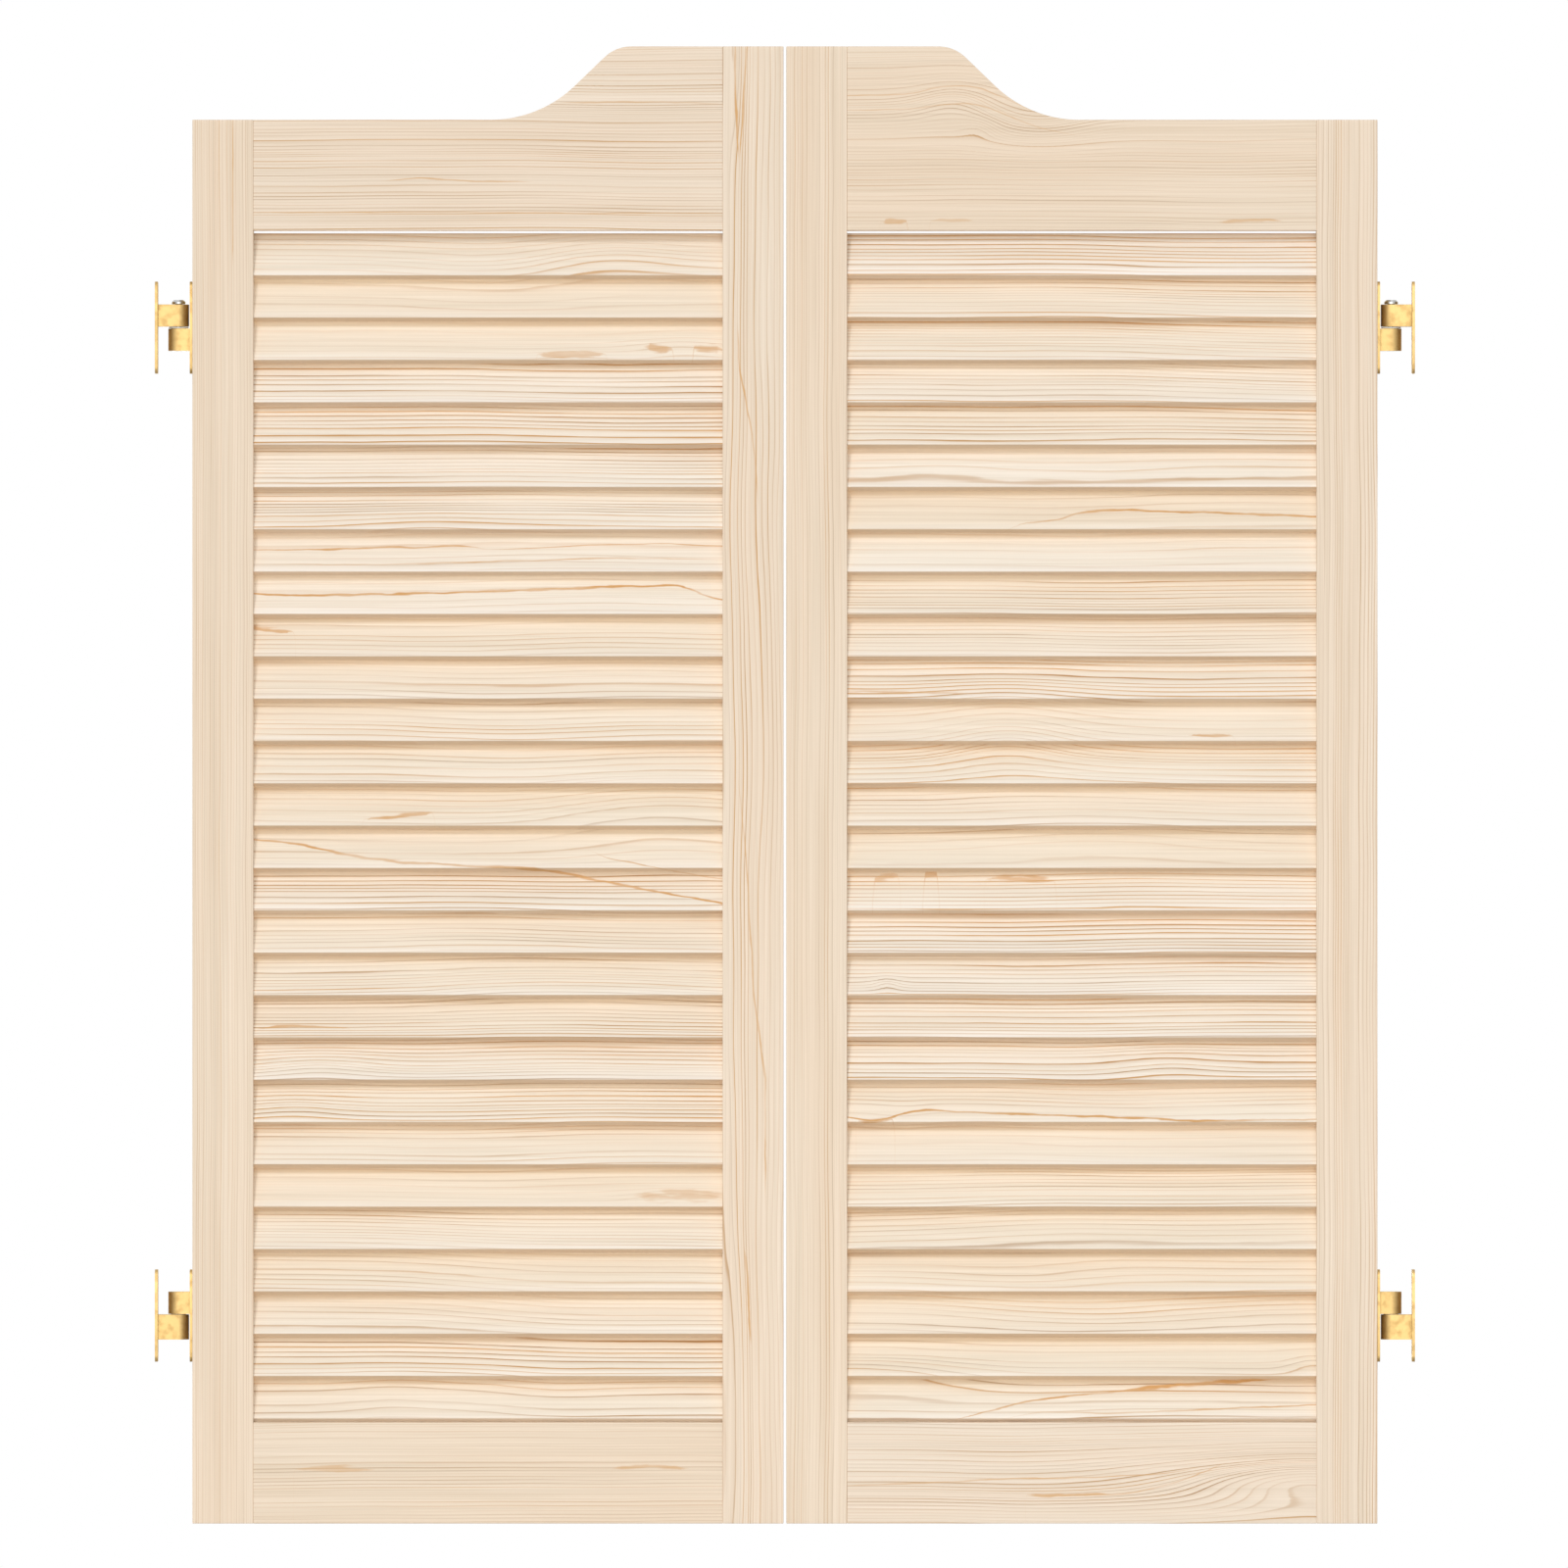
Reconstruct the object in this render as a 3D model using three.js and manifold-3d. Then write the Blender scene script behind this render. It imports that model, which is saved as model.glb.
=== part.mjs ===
// A pair of louvred cafe doors in bare pine, hung on double-acting gravity pivots.
// Millimetres, +Z up. X runs across the doorway, -Y is the front, and the origin lies between the
// two leaves, in the middle of their thickness, at the level of their bottom edges.
import * as THREE from "three";
import { mergeVertices } from "three/addons/utils/BufferGeometryUtils.js";
import Module from "manifold-3d";

const wasm = await Module();
wasm.setup();

// Leaf
const LEAF_WIDTH = 427;
const LEAF_HEIGHT = 1067;
const GROOVE_LIP = 3.5;
const MEETING_GAP = 2;
const STILE_WIDTH = 44;
const TOP_RAIL_HEIGHT = 80;
const BOTTOM_RAIL_HEIGHT = 73;
const GLUE_LINE = 0.3;

// Ogee step in the top edge, from the low hinge side up to the crest at the meeting stile
const STEP_HEIGHT = 53;
const CREST_WIDTH = 110;
const CREST_RADIUS = 28;
const HOLLOW_RADIUS = 88;
const OGEE_SLOPE = THREE.MathUtils.degToRad(44);
const OGEE_ARC_STEPS = 8;

// Louvres
const SLAT_COUNT = 28;
const PACKS_PER_LEAF = 4;
const SLAT_WIDTH = 34.6;
const SLAT_THICKNESS = 6.4;
const SLAT_TILT = THREE.MathUtils.degToRad(27);
const SLAT_EDGE_RADIUS = 1.2;
const SLAT_EDGE_STEPS = 2;
const LIGHT_GAP = 2;
const COMB_THICKNESS = 9;
const COMB_MARGIN = 0.2;
const FIT = 0.3;

// Dowels in the stile and rail joints
const DOWEL_RADIUS = 4.75;
const DOWEL_LENGTH = 50;
const DOWEL_INSET = 20;
const DOWEL_CHAMFER = 1;
const DOWEL_SIDES = 12;
const BORE_END_GAP = 0.5;
const CUT_OVERSHOOT = 1;

// Pivot hinges
const HINGE_INSET = 150;
const PIN_RADIUS = 2.5;
const BUSH_WALL = 2.6;
const BARREL_WALL = 1.8;
const KNUCKLE_HEIGHT = 16;
const KNUCKLE_GAP = 0.5;
const SWING_GAP = 0.7;
const CUP_FLOOR = 3;
const CUP_DEPTH = 15;
const CAM_BODY = 4;
const CAM_RISE = 4;
const CAP_THICKNESS = 4;
const BUSH_FLANGE = 0.9;
const PIN_TAIL = 1.5;
const PIN_ENGAGEMENT = 7;
const PIN_CHAMFER = 0.8;
const PIN_HEAD_RADIUS = 5;
const PIN_HEAD_HEIGHT = 3;
const PIN_HEAD_CHAMFER = 1.5;
const PLATE_THICKNESS = 2;
const PLATE_WIDTH = 24;
const PLATE_TAB = 16;
const PLATE_CORNER = 4;
const PLATE_CORNER_STEPS = 3;
const BARREL_SIDES = 24;
const PIN_SIDES = 16;

// Wood screws
const SCREW_RADIUS = 1.75;
const SCREW_HEAD_RADIUS = 3.5;
const SCREW_LENGTH = 16;
const SCREW_TIP = 3;
const SCREW_SLOT_WIDTH = 0.9;
const SCREW_SLOT_DEPTH = 0.8;
const SCREW_SIDES = 12;

// Sizes that follow from those above
const OPENING_WIDTH = LEAF_WIDTH - 2 * STILE_WIDTH;
const HINGE_SIDE_HEIGHT = LEAF_HEIGHT - STEP_HEIGHT;
const OPENING_TOP = HINGE_SIDE_HEIGHT - TOP_RAIL_HEIGHT;
const OPENING_BOTTOM = BOTTOM_RAIL_HEIGHT;

const SLAT_RISE = slatExtent(SLAT_WIDTH, SLAT_THICKNESS);
const SLAT_DEPTH = slatExtent(SLAT_THICKNESS, SLAT_WIDTH);
const LOWEST_SLAT = OPENING_BOTTOM + FIT + SLAT_RISE / 2;
const HIGHEST_SLAT = OPENING_TOP - LIGHT_GAP - SLAT_RISE / 2;
const SLAT_PITCH = (HIGHEST_SLAT - LOWEST_SLAT) / (SLAT_COUNT - 1);
const COMB_DEPTH = SLAT_DEPTH + 2 * COMB_MARGIN;
const GROOVE_WIDTH = COMB_DEPTH + 2 * FIT;
const LEAF_THICKNESS = GROOVE_WIDTH + 2 * GROOVE_LIP;
const HALF_THICKNESS = LEAF_THICKNESS / 2;

const PIN_BORE = PIN_RADIUS + FIT;
const BUSH_RADIUS = PIN_BORE + BUSH_WALL;
const BUSH_BORE = BUSH_RADIUS + FIT;
const BARREL_RADIUS = BUSH_BORE + BARREL_WALL;
const AXIS_TO_LEAF = BARREL_RADIUS + SWING_GAP + PLATE_THICKNESS;
const SWEPT_RADIUS = Math.max(HALF_THICKNESS, BARREL_RADIUS, PLATE_WIDTH / 2);
const AXIS_TO_JAMB = SWEPT_RADIUS + SWING_GAP + PLATE_THICKNESS;
const AXIS_X = MEETING_GAP / 2 + LEAF_WIDTH + AXIS_TO_LEAF;

// Heights in the lower hinge, measured from the middle of its stack
const LOWER_STACK = CUP_FLOOR + CUP_DEPTH + KNUCKLE_GAP + KNUCKLE_HEIGHT;
const CUP_BOTTOM = -LOWER_STACK / 2;
const CUP_BASE = CUP_BOTTOM + CUP_FLOOR;
const CUP_RIM = CUP_BASE + CUP_DEPTH;
const CAM_BOTTOM = CUP_BASE + FIT;
const CAM_TOP = CAM_BOTTOM + CAM_BODY + CAM_RISE;
const FOLLOWER_BOTTOM = CAM_TOP + FIT;
const LOWER_KNUCKLE_BOTTOM = CUP_RIM + KNUCKLE_GAP;
const LOWER_KNUCKLE_TOP = LOWER_KNUCKLE_BOTTOM + KNUCKLE_HEIGHT;
const LOWER_BORE_TOP = LOWER_KNUCKLE_TOP - CAP_THICKNESS;
const LOWER_PIN_TOP = LOWER_KNUCKLE_BOTTOM + PIN_ENGAGEMENT;

// Heights in the upper hinge, measured in the same way
const UPPER_GAP = BUSH_FLANGE + 2 * FIT;
const UPPER_STACK = 2 * KNUCKLE_HEIGHT + UPPER_GAP;
const UPPER_BOTTOM = -UPPER_STACK / 2;
const UPPER_DOOR_TOP = UPPER_BOTTOM + KNUCKLE_HEIGHT;
const UPPER_JAMB_BOTTOM = UPPER_DOOR_TOP + UPPER_GAP;
const UPPER_TOP = UPPER_JAMB_BOTTOM + KNUCKLE_HEIGHT;

// A plate has a tab with one screw beyond each end of the taller stack
const TALLER_STACK = Math.max(LOWER_STACK, UPPER_STACK);
const PLATE_HEIGHT = TALLER_STACK + 2 * PLATE_TAB;
const SCREW_HEIGHTS = [-1, 1].map((end) => (end * (TALLER_STACK + PLATE_TAB)) / 2);
const SCREW_HEAD_FLARE = SCREW_HEAD_RADIUS - SCREW_RADIUS;

const pine = new THREE.MeshStandardMaterial({ color: 0xecd8be, roughness: 0.62, metalness: 0 });
const slatPine = new THREE.MeshStandardMaterial({ color: 0xf0dec6, roughness: 0.6, metalness: 0 });
const beech = new THREE.MeshStandardMaterial({ color: 0xd9b98f, roughness: 0.7, metalness: 0 });
const brass = new THREE.MeshStandardMaterial({ color: 0xc2a05a, roughness: 0.32, metalness: 1 });
const steel = new THREE.MeshStandardMaterial({ color: 0xb4b4b2, roughness: 0.3, metalness: 1 });
const nylon = new THREE.MeshStandardMaterial({ color: 0xe9e6dc, roughness: 0.5, metalness: 0 });

// Extent of a tilted slat with rounded edges, along the axis that its first size lies nearer to
function slatExtent(along, across) {
  const straight = (along / 2 - SLAT_EDGE_RADIUS) * Math.cos(SLAT_TILT);
  const sideways = (across / 2 - SLAT_EDGE_RADIUS) * Math.sin(SLAT_TILT);
  return 2 * (straight + sideways + SLAT_EDGE_RADIUS);
}

// A closed three.js geometry as a solid that can be cut and joined
function solid(geometry) {
  const bare = geometry.clone();
  bare.deleteAttribute("normal");
  bare.deleteAttribute("uv");
  const merged = mergeVertices(bare, 1e-4);
  return new wasm.Manifold(
    new wasm.Mesh({
      numProp: 3,
      vertProperties: merged.attributes.position.array,
      triVerts: new Uint32Array(merged.index.array),
    }),
  );
}

// A solid back as a three.js geometry with flat faces
function surface(body) {
  const mesh = body.getMesh();
  const indexed = new THREE.BufferGeometry()
    .setAttribute("position", new THREE.BufferAttribute(mesh.vertProperties, 3))
    .setIndex(new THREE.BufferAttribute(mesh.triVerts, 1));
  const flat = indexed.toNonIndexed();
  flat.computeVertexNormals();
  return flat;
}

function part(name, body, material) {
  const mesh = new THREE.Mesh(surface(body), material);
  mesh.name = name;
  return mesh;
}

function block(x0, x1, y0, y1, z0, z1) {
  const geometry = new THREE.BoxGeometry(Math.abs(x1 - x0), y1 - y0, z1 - z0);
  return solid(geometry.translate((x0 + x1) / 2, (y0 + y1) / 2, (z0 + z1) / 2));
}

// An outline of [across, up] points, extruded along X or Y and centred there
function extrude(points, length, direction) {
  const bases = {
    x: [new THREE.Vector3(0, 1, 0), new THREE.Vector3(0, 0, 1), new THREE.Vector3(1, 0, 0)],
    y: [new THREE.Vector3(1, 0, 0), new THREE.Vector3(0, 0, 1), new THREE.Vector3(0, -1, 0)],
  };
  const shape = new THREE.Shape(points.map(([across, up]) => new THREE.Vector2(across, up)));
  const geometry = new THREE.ExtrudeGeometry(shape, { depth: length, bevelEnabled: false });
  geometry.translate(0, 0, -length / 2);
  return solid(geometry.applyMatrix4(new THREE.Matrix4().makeBasis(...bases[direction])));
}

// A profile of [radius, height] points, from the axis back to the axis, turned about Z
function turn(profile, sides) {
  const points = profile.map(([radius, height]) => new THREE.Vector2(radius, height));
  return solid(new THREE.LatheGeometry(points, sides).rotateX(Math.PI / 2));
}

function rod(radius, bottom, top, sides) {
  return turn([[0, bottom], [radius, bottom], [radius, top], [0, top]], sides);
}

// A rod that lies along X
function bar(radius, x0, x1, sides) {
  return rod(radius, x0, x1, sides).rotate([0, 90, 0]);
}

// Points on an arc about a centre, from one angle to another
function arc(centreX, centreY, radius, from, to, steps) {
  return Array.from({ length: steps + 1 }, (_, step) => {
    const angle = from + ((to - from) * step) / steps;
    return [centreX + radius * Math.cos(angle), centreY + radius * Math.sin(angle)];
  });
}

// A rectangle with rounded corners, centred, as an outline
function roundedRectangle(width, height, radius, steps) {
  const right = width / 2 - radius;
  const top = height / 2 - radius;
  const corners = [[right, top], [-right, top], [-right, -top], [right, -top]];
  return corners.flatMap(([x, y], quarter) =>
    arc(x, y, radius, (quarter * Math.PI) / 2, ((quarter + 1) * Math.PI) / 2, steps),
  );
}

function turned(points, angle) {
  const cos = Math.cos(angle);
  const sin = Math.sin(angle);
  return points.map(([x, y]) => [x * cos - y * sin, x * sin + y * cos]);
}

// The leaf is drawn with its across axis at zero on the hinge edge and running to the meeting edge;
// side is +1 for the left leaf, which lies to the right of its hinge, and -1 for the right leaf.

// Heights of the two dowels in the end of a rail
function dowelHeights(bottom, top) {
  return [bottom + DOWEL_INSET, top - DOWEL_INSET];
}

// Every dowel of a leaf: its name, the joint face that it crosses, and its height
function dowelPlaces() {
  const joints = [
    ["bottom_hinge", STILE_WIDTH, 0, BOTTOM_RAIL_HEIGHT],
    ["bottom_meeting", LEAF_WIDTH - STILE_WIDTH, 0, BOTTOM_RAIL_HEIGHT],
    ["top_hinge", STILE_WIDTH, OPENING_TOP, HINGE_SIDE_HEIGHT],
    ["top_meeting", LEAF_WIDTH - STILE_WIDTH, OPENING_TOP, LEAF_HEIGHT],
  ];
  return joints.flatMap(([joint, across, bottom, top]) =>
    dowelHeights(bottom, top).map((height, index) => ({
      name: `${joint}_dowel_${index + 1}`,
      across,
      height,
    })),
  );
}

function dowelSolid() {
  const end = DOWEL_LENGTH / 2;
  const neck = DOWEL_RADIUS - DOWEL_CHAMFER;
  const shoulder = end - DOWEL_CHAMFER;
  const profile = [
    [0, -end],
    [neck, -end],
    [DOWEL_RADIUS, -shoulder],
    [DOWEL_RADIUS, shoulder],
    [neck, end],
    [0, end],
  ];
  return turn(profile, DOWEL_SIDES).rotate([0, 90, 0]);
}

// Takes the dowel bores out of a stile or a rail of the leaf
function boreForDowels(body, side) {
  const reach = DOWEL_LENGTH / 2 + BORE_END_GAP;
  return dowelPlaces().reduce((left, place) => {
    const bore = bar(DOWEL_RADIUS + FIT, -reach, reach, DOWEL_SIDES);
    return left.subtract(bore.translate([side * place.across, 0, place.height]));
  }, body);
}

// A stile: a straight post with a groove for the louvre combs and bores for the dowels
function stileSolid(side, outer, inner, height) {
  const post = block(side * outer, side * inner, -HALF_THICKNESS, HALF_THICKNESS, 0, height);
  const intoPost = Math.sign(outer - inner);
  const grooveFloor = inner + intoPost * COMB_THICKNESS;
  const overshoot = inner - intoPost * CUT_OVERSHOOT;
  const half = GROOVE_WIDTH / 2;
  const groove = block(side * grooveFloor, side * overshoot, -half, half, OPENING_BOTTOM, OPENING_TOP);
  return boreForDowels(post.subtract(groove), side);
}

// The hinge stile also has pilot holes for the hinge screws in its outer edge
function hingeStileSolid(side) {
  const stile = stileSolid(side, 0, STILE_WIDTH, HINGE_SIDE_HEIGHT);
  const depth = SCREW_LENGTH - PLATE_THICKNESS + BORE_END_GAP;
  return hingeHeights()
    .flatMap((height) => SCREW_HEIGHTS.map((offset) => height + offset))
    .reduce((left, height) => {
      const pilot = bar(SCREW_RADIUS + FIT, -CUT_OVERSHOOT, depth, SCREW_SIDES);
      const turnedPilot = side > 0 ? pilot : pilot.rotate([0, 0, 180]);
      return left.subtract(turnedPilot.translate([0, 0, height]));
    }, stile);
}

// The top rail's outline: straight below, and above a low edge, a hollow, a slope and a rounded crest
function topRailOutline() {
  const arcsRise = (HOLLOW_RADIUS + CREST_RADIUS) * (1 - Math.cos(OGEE_SLOPE));
  const limit = Math.min(1, STEP_HEIGHT / arcsRise);
  const hollow = HOLLOW_RADIUS * limit;
  const crest = CREST_RADIUS * limit;
  const slopeRun = (STEP_HEIGHT - arcsRise * limit) / Math.tan(OGEE_SLOPE);
  const crestEnd = LEAF_WIDTH - CREST_WIDTH;
  const hollowStart = crestEnd - (hollow + crest) * Math.sin(OGEE_SLOPE) - slopeRun;
  const left = STILE_WIDTH + GLUE_LINE;
  const right = LEAF_WIDTH - STILE_WIDTH - GLUE_LINE;
  const down = -Math.PI / 2;
  const up = Math.PI / 2;
  return [
    [left, OPENING_TOP],
    [right, OPENING_TOP],
    [right, LEAF_HEIGHT],
    ...arc(crestEnd, LEAF_HEIGHT - crest, crest, up, up + OGEE_SLOPE, OGEE_ARC_STEPS),
    ...arc(hollowStart, HINGE_SIDE_HEIGHT + hollow, hollow, down + OGEE_SLOPE, down, OGEE_ARC_STEPS),
    [left, HINGE_SIDE_HEIGHT],
  ];
}

function topRailSolid(side) {
  const outline = topRailOutline().map(([across, up]) => [side * across, up]);
  return boreForDowels(extrude(outline, LEAF_THICKNESS, "y"), side);
}

function bottomRailSolid(side) {
  const left = side * (STILE_WIDTH + GLUE_LINE);
  const right = side * (LEAF_WIDTH - STILE_WIDTH - GLUE_LINE);
  const rail = block(left, right, -HALF_THICKNESS, HALF_THICKNESS, 0, BOTTOM_RAIL_HEIGHT);
  return boreForDowels(rail, side);
}

function slatHeight(index) {
  return HIGHEST_SLAT - index * SLAT_PITCH;
}

// A slat's section in [Y, Z], its lower edge to the front
function slatOutline() {
  const flat = roundedRectangle(SLAT_THICKNESS, SLAT_WIDTH, SLAT_EDGE_RADIUS, SLAT_EDGE_STEPS);
  return turned(flat, -SLAT_TILT);
}

// One notched comb that spaces the ends of a pack's slats; its ends are cut along the slats' slope
function combSolid(first, last) {
  const half = COMB_DEPTH / 2;
  const lean = half / Math.tan(SLAT_TILT);
  const top = slatHeight(first) + SLAT_PITCH / 2 - FIT / 2 / Math.sin(SLAT_TILT);
  const bottom = slatHeight(last) - SLAT_PITCH / 2 + FIT / 2 / Math.sin(SLAT_TILT);
  const outline = [
    [-half, bottom - lean],
    [half, bottom + lean],
    [half, top + lean],
    [-half, top - lean],
  ];
  const length = COMB_THICKNESS - FIT;
  const room = block(-length, length, -COMB_DEPTH, COMB_DEPTH, OPENING_BOTTOM + FIT, OPENING_TOP - FIT);
  return extrude(outline, length, "x").intersect(room);
}

// A run of slats glued into its two end combs, centred across the louvre opening
function louvrePackSolid(first, last) {
  const combOffset = OPENING_WIDTH / 2 + (COMB_THICKNESS - FIT) / 2;
  const slat = extrude(slatOutline(), OPENING_WIDTH + COMB_THICKNESS, "x");
  const comb = combSolid(first, last);
  let pack = comb.translate([-combOffset, 0, 0]).add(comb.translate([combOffset, 0, 0]));
  for (let index = first; index <= last; index++) {
    pack = pack.add(slat.translate([0, 0, slatHeight(index)]));
  }
  return pack;
}

// Hinge pieces are drawn about their own axis at their own mid height, with the leaf to the +X side.

function hingeHeights() {
  return [HINGE_INSET, HINGE_SIDE_HEIGHT - HINGE_INSET];
}

// The plate of a bracket, with countersunk screw holes that open towards the axis
function plateSolid(backX) {
  const inward = -Math.sign(backX);
  const outline = roundedRectangle(PLATE_WIDTH, PLATE_HEIGHT, PLATE_CORNER, PLATE_CORNER_STEPS);
  const middle = backX + (inward * PLATE_THICKNESS) / 2;
  const plate = extrude(outline, PLATE_THICKNESS, "x").translate([middle, 0, 0]);
  const hole = SCREW_RADIUS + FIT;
  const mouth = hole + SCREW_HEAD_FLARE;
  const sink = [
    [0, -CUT_OVERSHOOT],
    [hole, -CUT_OVERSHOOT],
    [hole, 0],
    [mouth, PLATE_THICKNESS],
    [mouth, PLATE_THICKNESS + CUT_OVERSHOOT],
    [0, PLATE_THICKNESS + CUT_OVERSHOOT],
  ];
  return SCREW_HEIGHTS.reduce((left, height) => {
    const cutter = turn(sink, SCREW_SIDES).rotate([0, inward * 90, 0]);
    return left.subtract(cutter.translate([backX, 0, height]));
  }, plate);
}

// A knuckle round the axis, with the web that joins it to its plate
function knuckleSolid(plateX, bottom, top) {
  const barrel = rod(BARREL_RADIUS, bottom, top, BARREL_SIDES);
  const webEnd = plateX - (Math.sign(plateX) * PLATE_THICKNESS) / 2;
  return barrel.add(block(0, webEnd, -BARREL_RADIUS, BARREL_RADIUS, bottom, top));
}

// Lower jamb bracket: a plate with a cup that holds the cam and the foot of the pin
function lowerJambBracketSolid() {
  const cup = knuckleSolid(-AXIS_TO_JAMB, CUP_BOTTOM, CUP_RIM);
  const hollow = rod(BUSH_BORE, CUP_BASE, CUP_RIM + CUT_OVERSHOOT, BARREL_SIDES);
  const pinHole = rod(PIN_BORE, CUP_BOTTOM - CUT_OVERSHOOT, CUP_RIM, PIN_SIDES);
  return plateSolid(-AXIS_TO_JAMB).add(cup).subtract(hollow).subtract(pinHole);
}

function lowerPinSolid() {
  const profile = [
    [0, CUP_BOTTOM],
    [PIN_RADIUS, CUP_BOTTOM],
    [PIN_RADIUS, LOWER_PIN_TOP - PIN_CHAMFER],
    [PIN_RADIUS - PIN_CHAMFER, LOWER_PIN_TOP],
    [0, LOWER_PIN_TOP],
  ];
  return turn(profile, PIN_SIDES);
}

// A prism along X with a V that is as wide as the cam and as deep as its rise
function vPrism(apex, base) {
  const outline = [[0, apex], [BUSH_RADIUS, base], [-BUSH_RADIUS, base]];
  return extrude(outline, 4 * BUSH_RADIUS, "x");
}

// The cam: a collar on the pin with a V groove across its top
function camSolid() {
  const collar = rod(BUSH_RADIUS, CAM_BOTTOM, CAM_TOP, BARREL_SIDES);
  const bore = rod(PIN_BORE, CAM_BOTTOM - CUT_OVERSHOOT, CAM_TOP + CUT_OVERSHOOT, PIN_SIDES);
  return collar.subtract(bore).subtract(vPrism(CAM_TOP - CAM_RISE, CAM_TOP));
}

// The follower: a plug in the door bracket whose lower end is a V ridge over the cam's groove
function followerSolid() {
  const plug = rod(BUSH_RADIUS, FOLLOWER_BOTTOM, LOWER_BORE_TOP - FIT, BARREL_SIDES);
  const below = FOLLOWER_BOTTOM - CUT_OVERSHOOT;
  const bore = rod(PIN_BORE, below, LOWER_PIN_TOP + FIT, PIN_SIDES);
  const wide = 2 * BUSH_RADIUS;
  const slab = block(-wide, wide, -wide, wide, below, FOLLOWER_BOTTOM + CAM_RISE);
  const ridge = vPrism(FOLLOWER_BOTTOM, FOLLOWER_BOTTOM + CAM_RISE);
  return plug.subtract(slab.subtract(ridge)).subtract(bore);
}

// Lower door bracket: a plate with a knuckle that is closed on top and holds the follower
function lowerDoorBracketSolid() {
  const knuckle = knuckleSolid(AXIS_TO_LEAF, LOWER_KNUCKLE_BOTTOM, LOWER_KNUCKLE_TOP);
  const bore = rod(BUSH_BORE, LOWER_KNUCKLE_BOTTOM - CUT_OVERSHOOT, LOWER_BORE_TOP, BARREL_SIDES);
  return plateSolid(AXIS_TO_LEAF).add(knuckle).subtract(bore);
}

// Upper door bracket: a plate with a bushed knuckle
function upperDoorBracketSolid() {
  const knuckle = knuckleSolid(AXIS_TO_LEAF, UPPER_BOTTOM, UPPER_DOOR_TOP);
  const bore = rod(BUSH_BORE, UPPER_BOTTOM - CUT_OVERSHOOT, UPPER_JAMB_BOTTOM, BARREL_SIDES);
  return plateSolid(AXIS_TO_LEAF).add(knuckle).subtract(bore);
}

// The bush in the upper door knuckle, with a flange that keeps the two knuckles apart
function bushSolid() {
  const seat = UPPER_DOOR_TOP + FIT;
  const flangeRadius = BARREL_RADIUS - FIT;
  const sleeve = rod(BUSH_RADIUS, UPPER_BOTTOM, seat + BUSH_FLANGE, BARREL_SIDES);
  const flange = rod(flangeRadius, seat, seat + BUSH_FLANGE, BARREL_SIDES);
  const bore = rod(PIN_BORE, UPPER_BOTTOM - CUT_OVERSHOOT, UPPER_TOP, PIN_SIDES);
  return sleeve.add(flange).subtract(bore);
}

// Upper jamb bracket: a plate with a knuckle above the door's
function upperJambBracketSolid() {
  const knuckle = knuckleSolid(-AXIS_TO_JAMB, UPPER_JAMB_BOTTOM, UPPER_TOP);
  const bore = rod(PIN_BORE, UPPER_DOOR_TOP, UPPER_TOP + CUT_OVERSHOOT, PIN_SIDES);
  return plateSolid(-AXIS_TO_JAMB).add(knuckle).subtract(bore);
}

// The upper pin drops through both knuckles and hangs by its rounded head
function upperPinSolid() {
  const seat = UPPER_TOP + FIT;
  const crown = seat + PIN_HEAD_HEIGHT;
  const profile = [
    [0, UPPER_BOTTOM + PIN_TAIL],
    [PIN_RADIUS, UPPER_BOTTOM + PIN_TAIL],
    [PIN_RADIUS, seat],
    [PIN_HEAD_RADIUS, seat],
    [PIN_HEAD_RADIUS, crown - PIN_HEAD_CHAMFER],
    [PIN_HEAD_RADIUS - PIN_HEAD_CHAMFER, crown],
    [0, crown],
  ];
  return turn(profile, PIN_SIDES);
}

// A slotted countersunk wood screw that points along +X, its head flush with the plane at zero
function screwSolid() {
  const profile = [
    [0, 0],
    [SCREW_HEAD_RADIUS, 0],
    [SCREW_RADIUS, PLATE_THICKNESS],
    [SCREW_RADIUS, SCREW_LENGTH - SCREW_TIP],
    [0, SCREW_LENGTH],
  ];
  const halfSlot = SCREW_SLOT_WIDTH / 2;
  const wide = 2 * SCREW_HEAD_RADIUS;
  const slot = block(-CUT_OVERSHOOT, SCREW_SLOT_DEPTH, -wide, wide, -halfSlot, halfSlot);
  return turn(profile, SCREW_SIDES).rotate([0, 90, 0]).subtract(slot);
}

// One hinge side's pieces in a group on the axis, turned half round for the right leaf
function hingeGroup(side, height, pieces) {
  const group = new THREE.Group();
  group.position.z = height;
  group.rotation.z = side > 0 ? 0 : Math.PI;
  group.add(...pieces);
  return group;
}

// The fixed half of a leaf's two hinges, which is screwed to the jamb
function jambHardware(hand, side) {
  const [low, high] = hingeHeights();
  const group = new THREE.Group();
  group.position.x = -side * AXIS_X;
  group.add(
    hingeGroup(side, low, [
      part(`${hand}_lower_jamb_bracket`, lowerJambBracketSolid(), brass),
      part(`${hand}_lower_pin`, lowerPinSolid(), steel),
      part(`${hand}_lower_cam`, camSolid(), nylon),
    ]),
    hingeGroup(side, high, [
      part(`${hand}_upper_jamb_bracket`, upperJambBracketSolid(), brass),
      part(`${hand}_upper_pin`, upperPinSolid(), steel),
    ]),
  );
  return group;
}

function doorScrews(hand, hinge) {
  return SCREW_HEIGHTS.map((height, index) => {
    const screw = part(`${hand}_${hinge}_screw_${index + 1}`, screwSolid(), brass);
    screw.position.set(AXIS_TO_LEAF - PLATE_THICKNESS, 0, height);
    return screw;
  });
}

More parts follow.
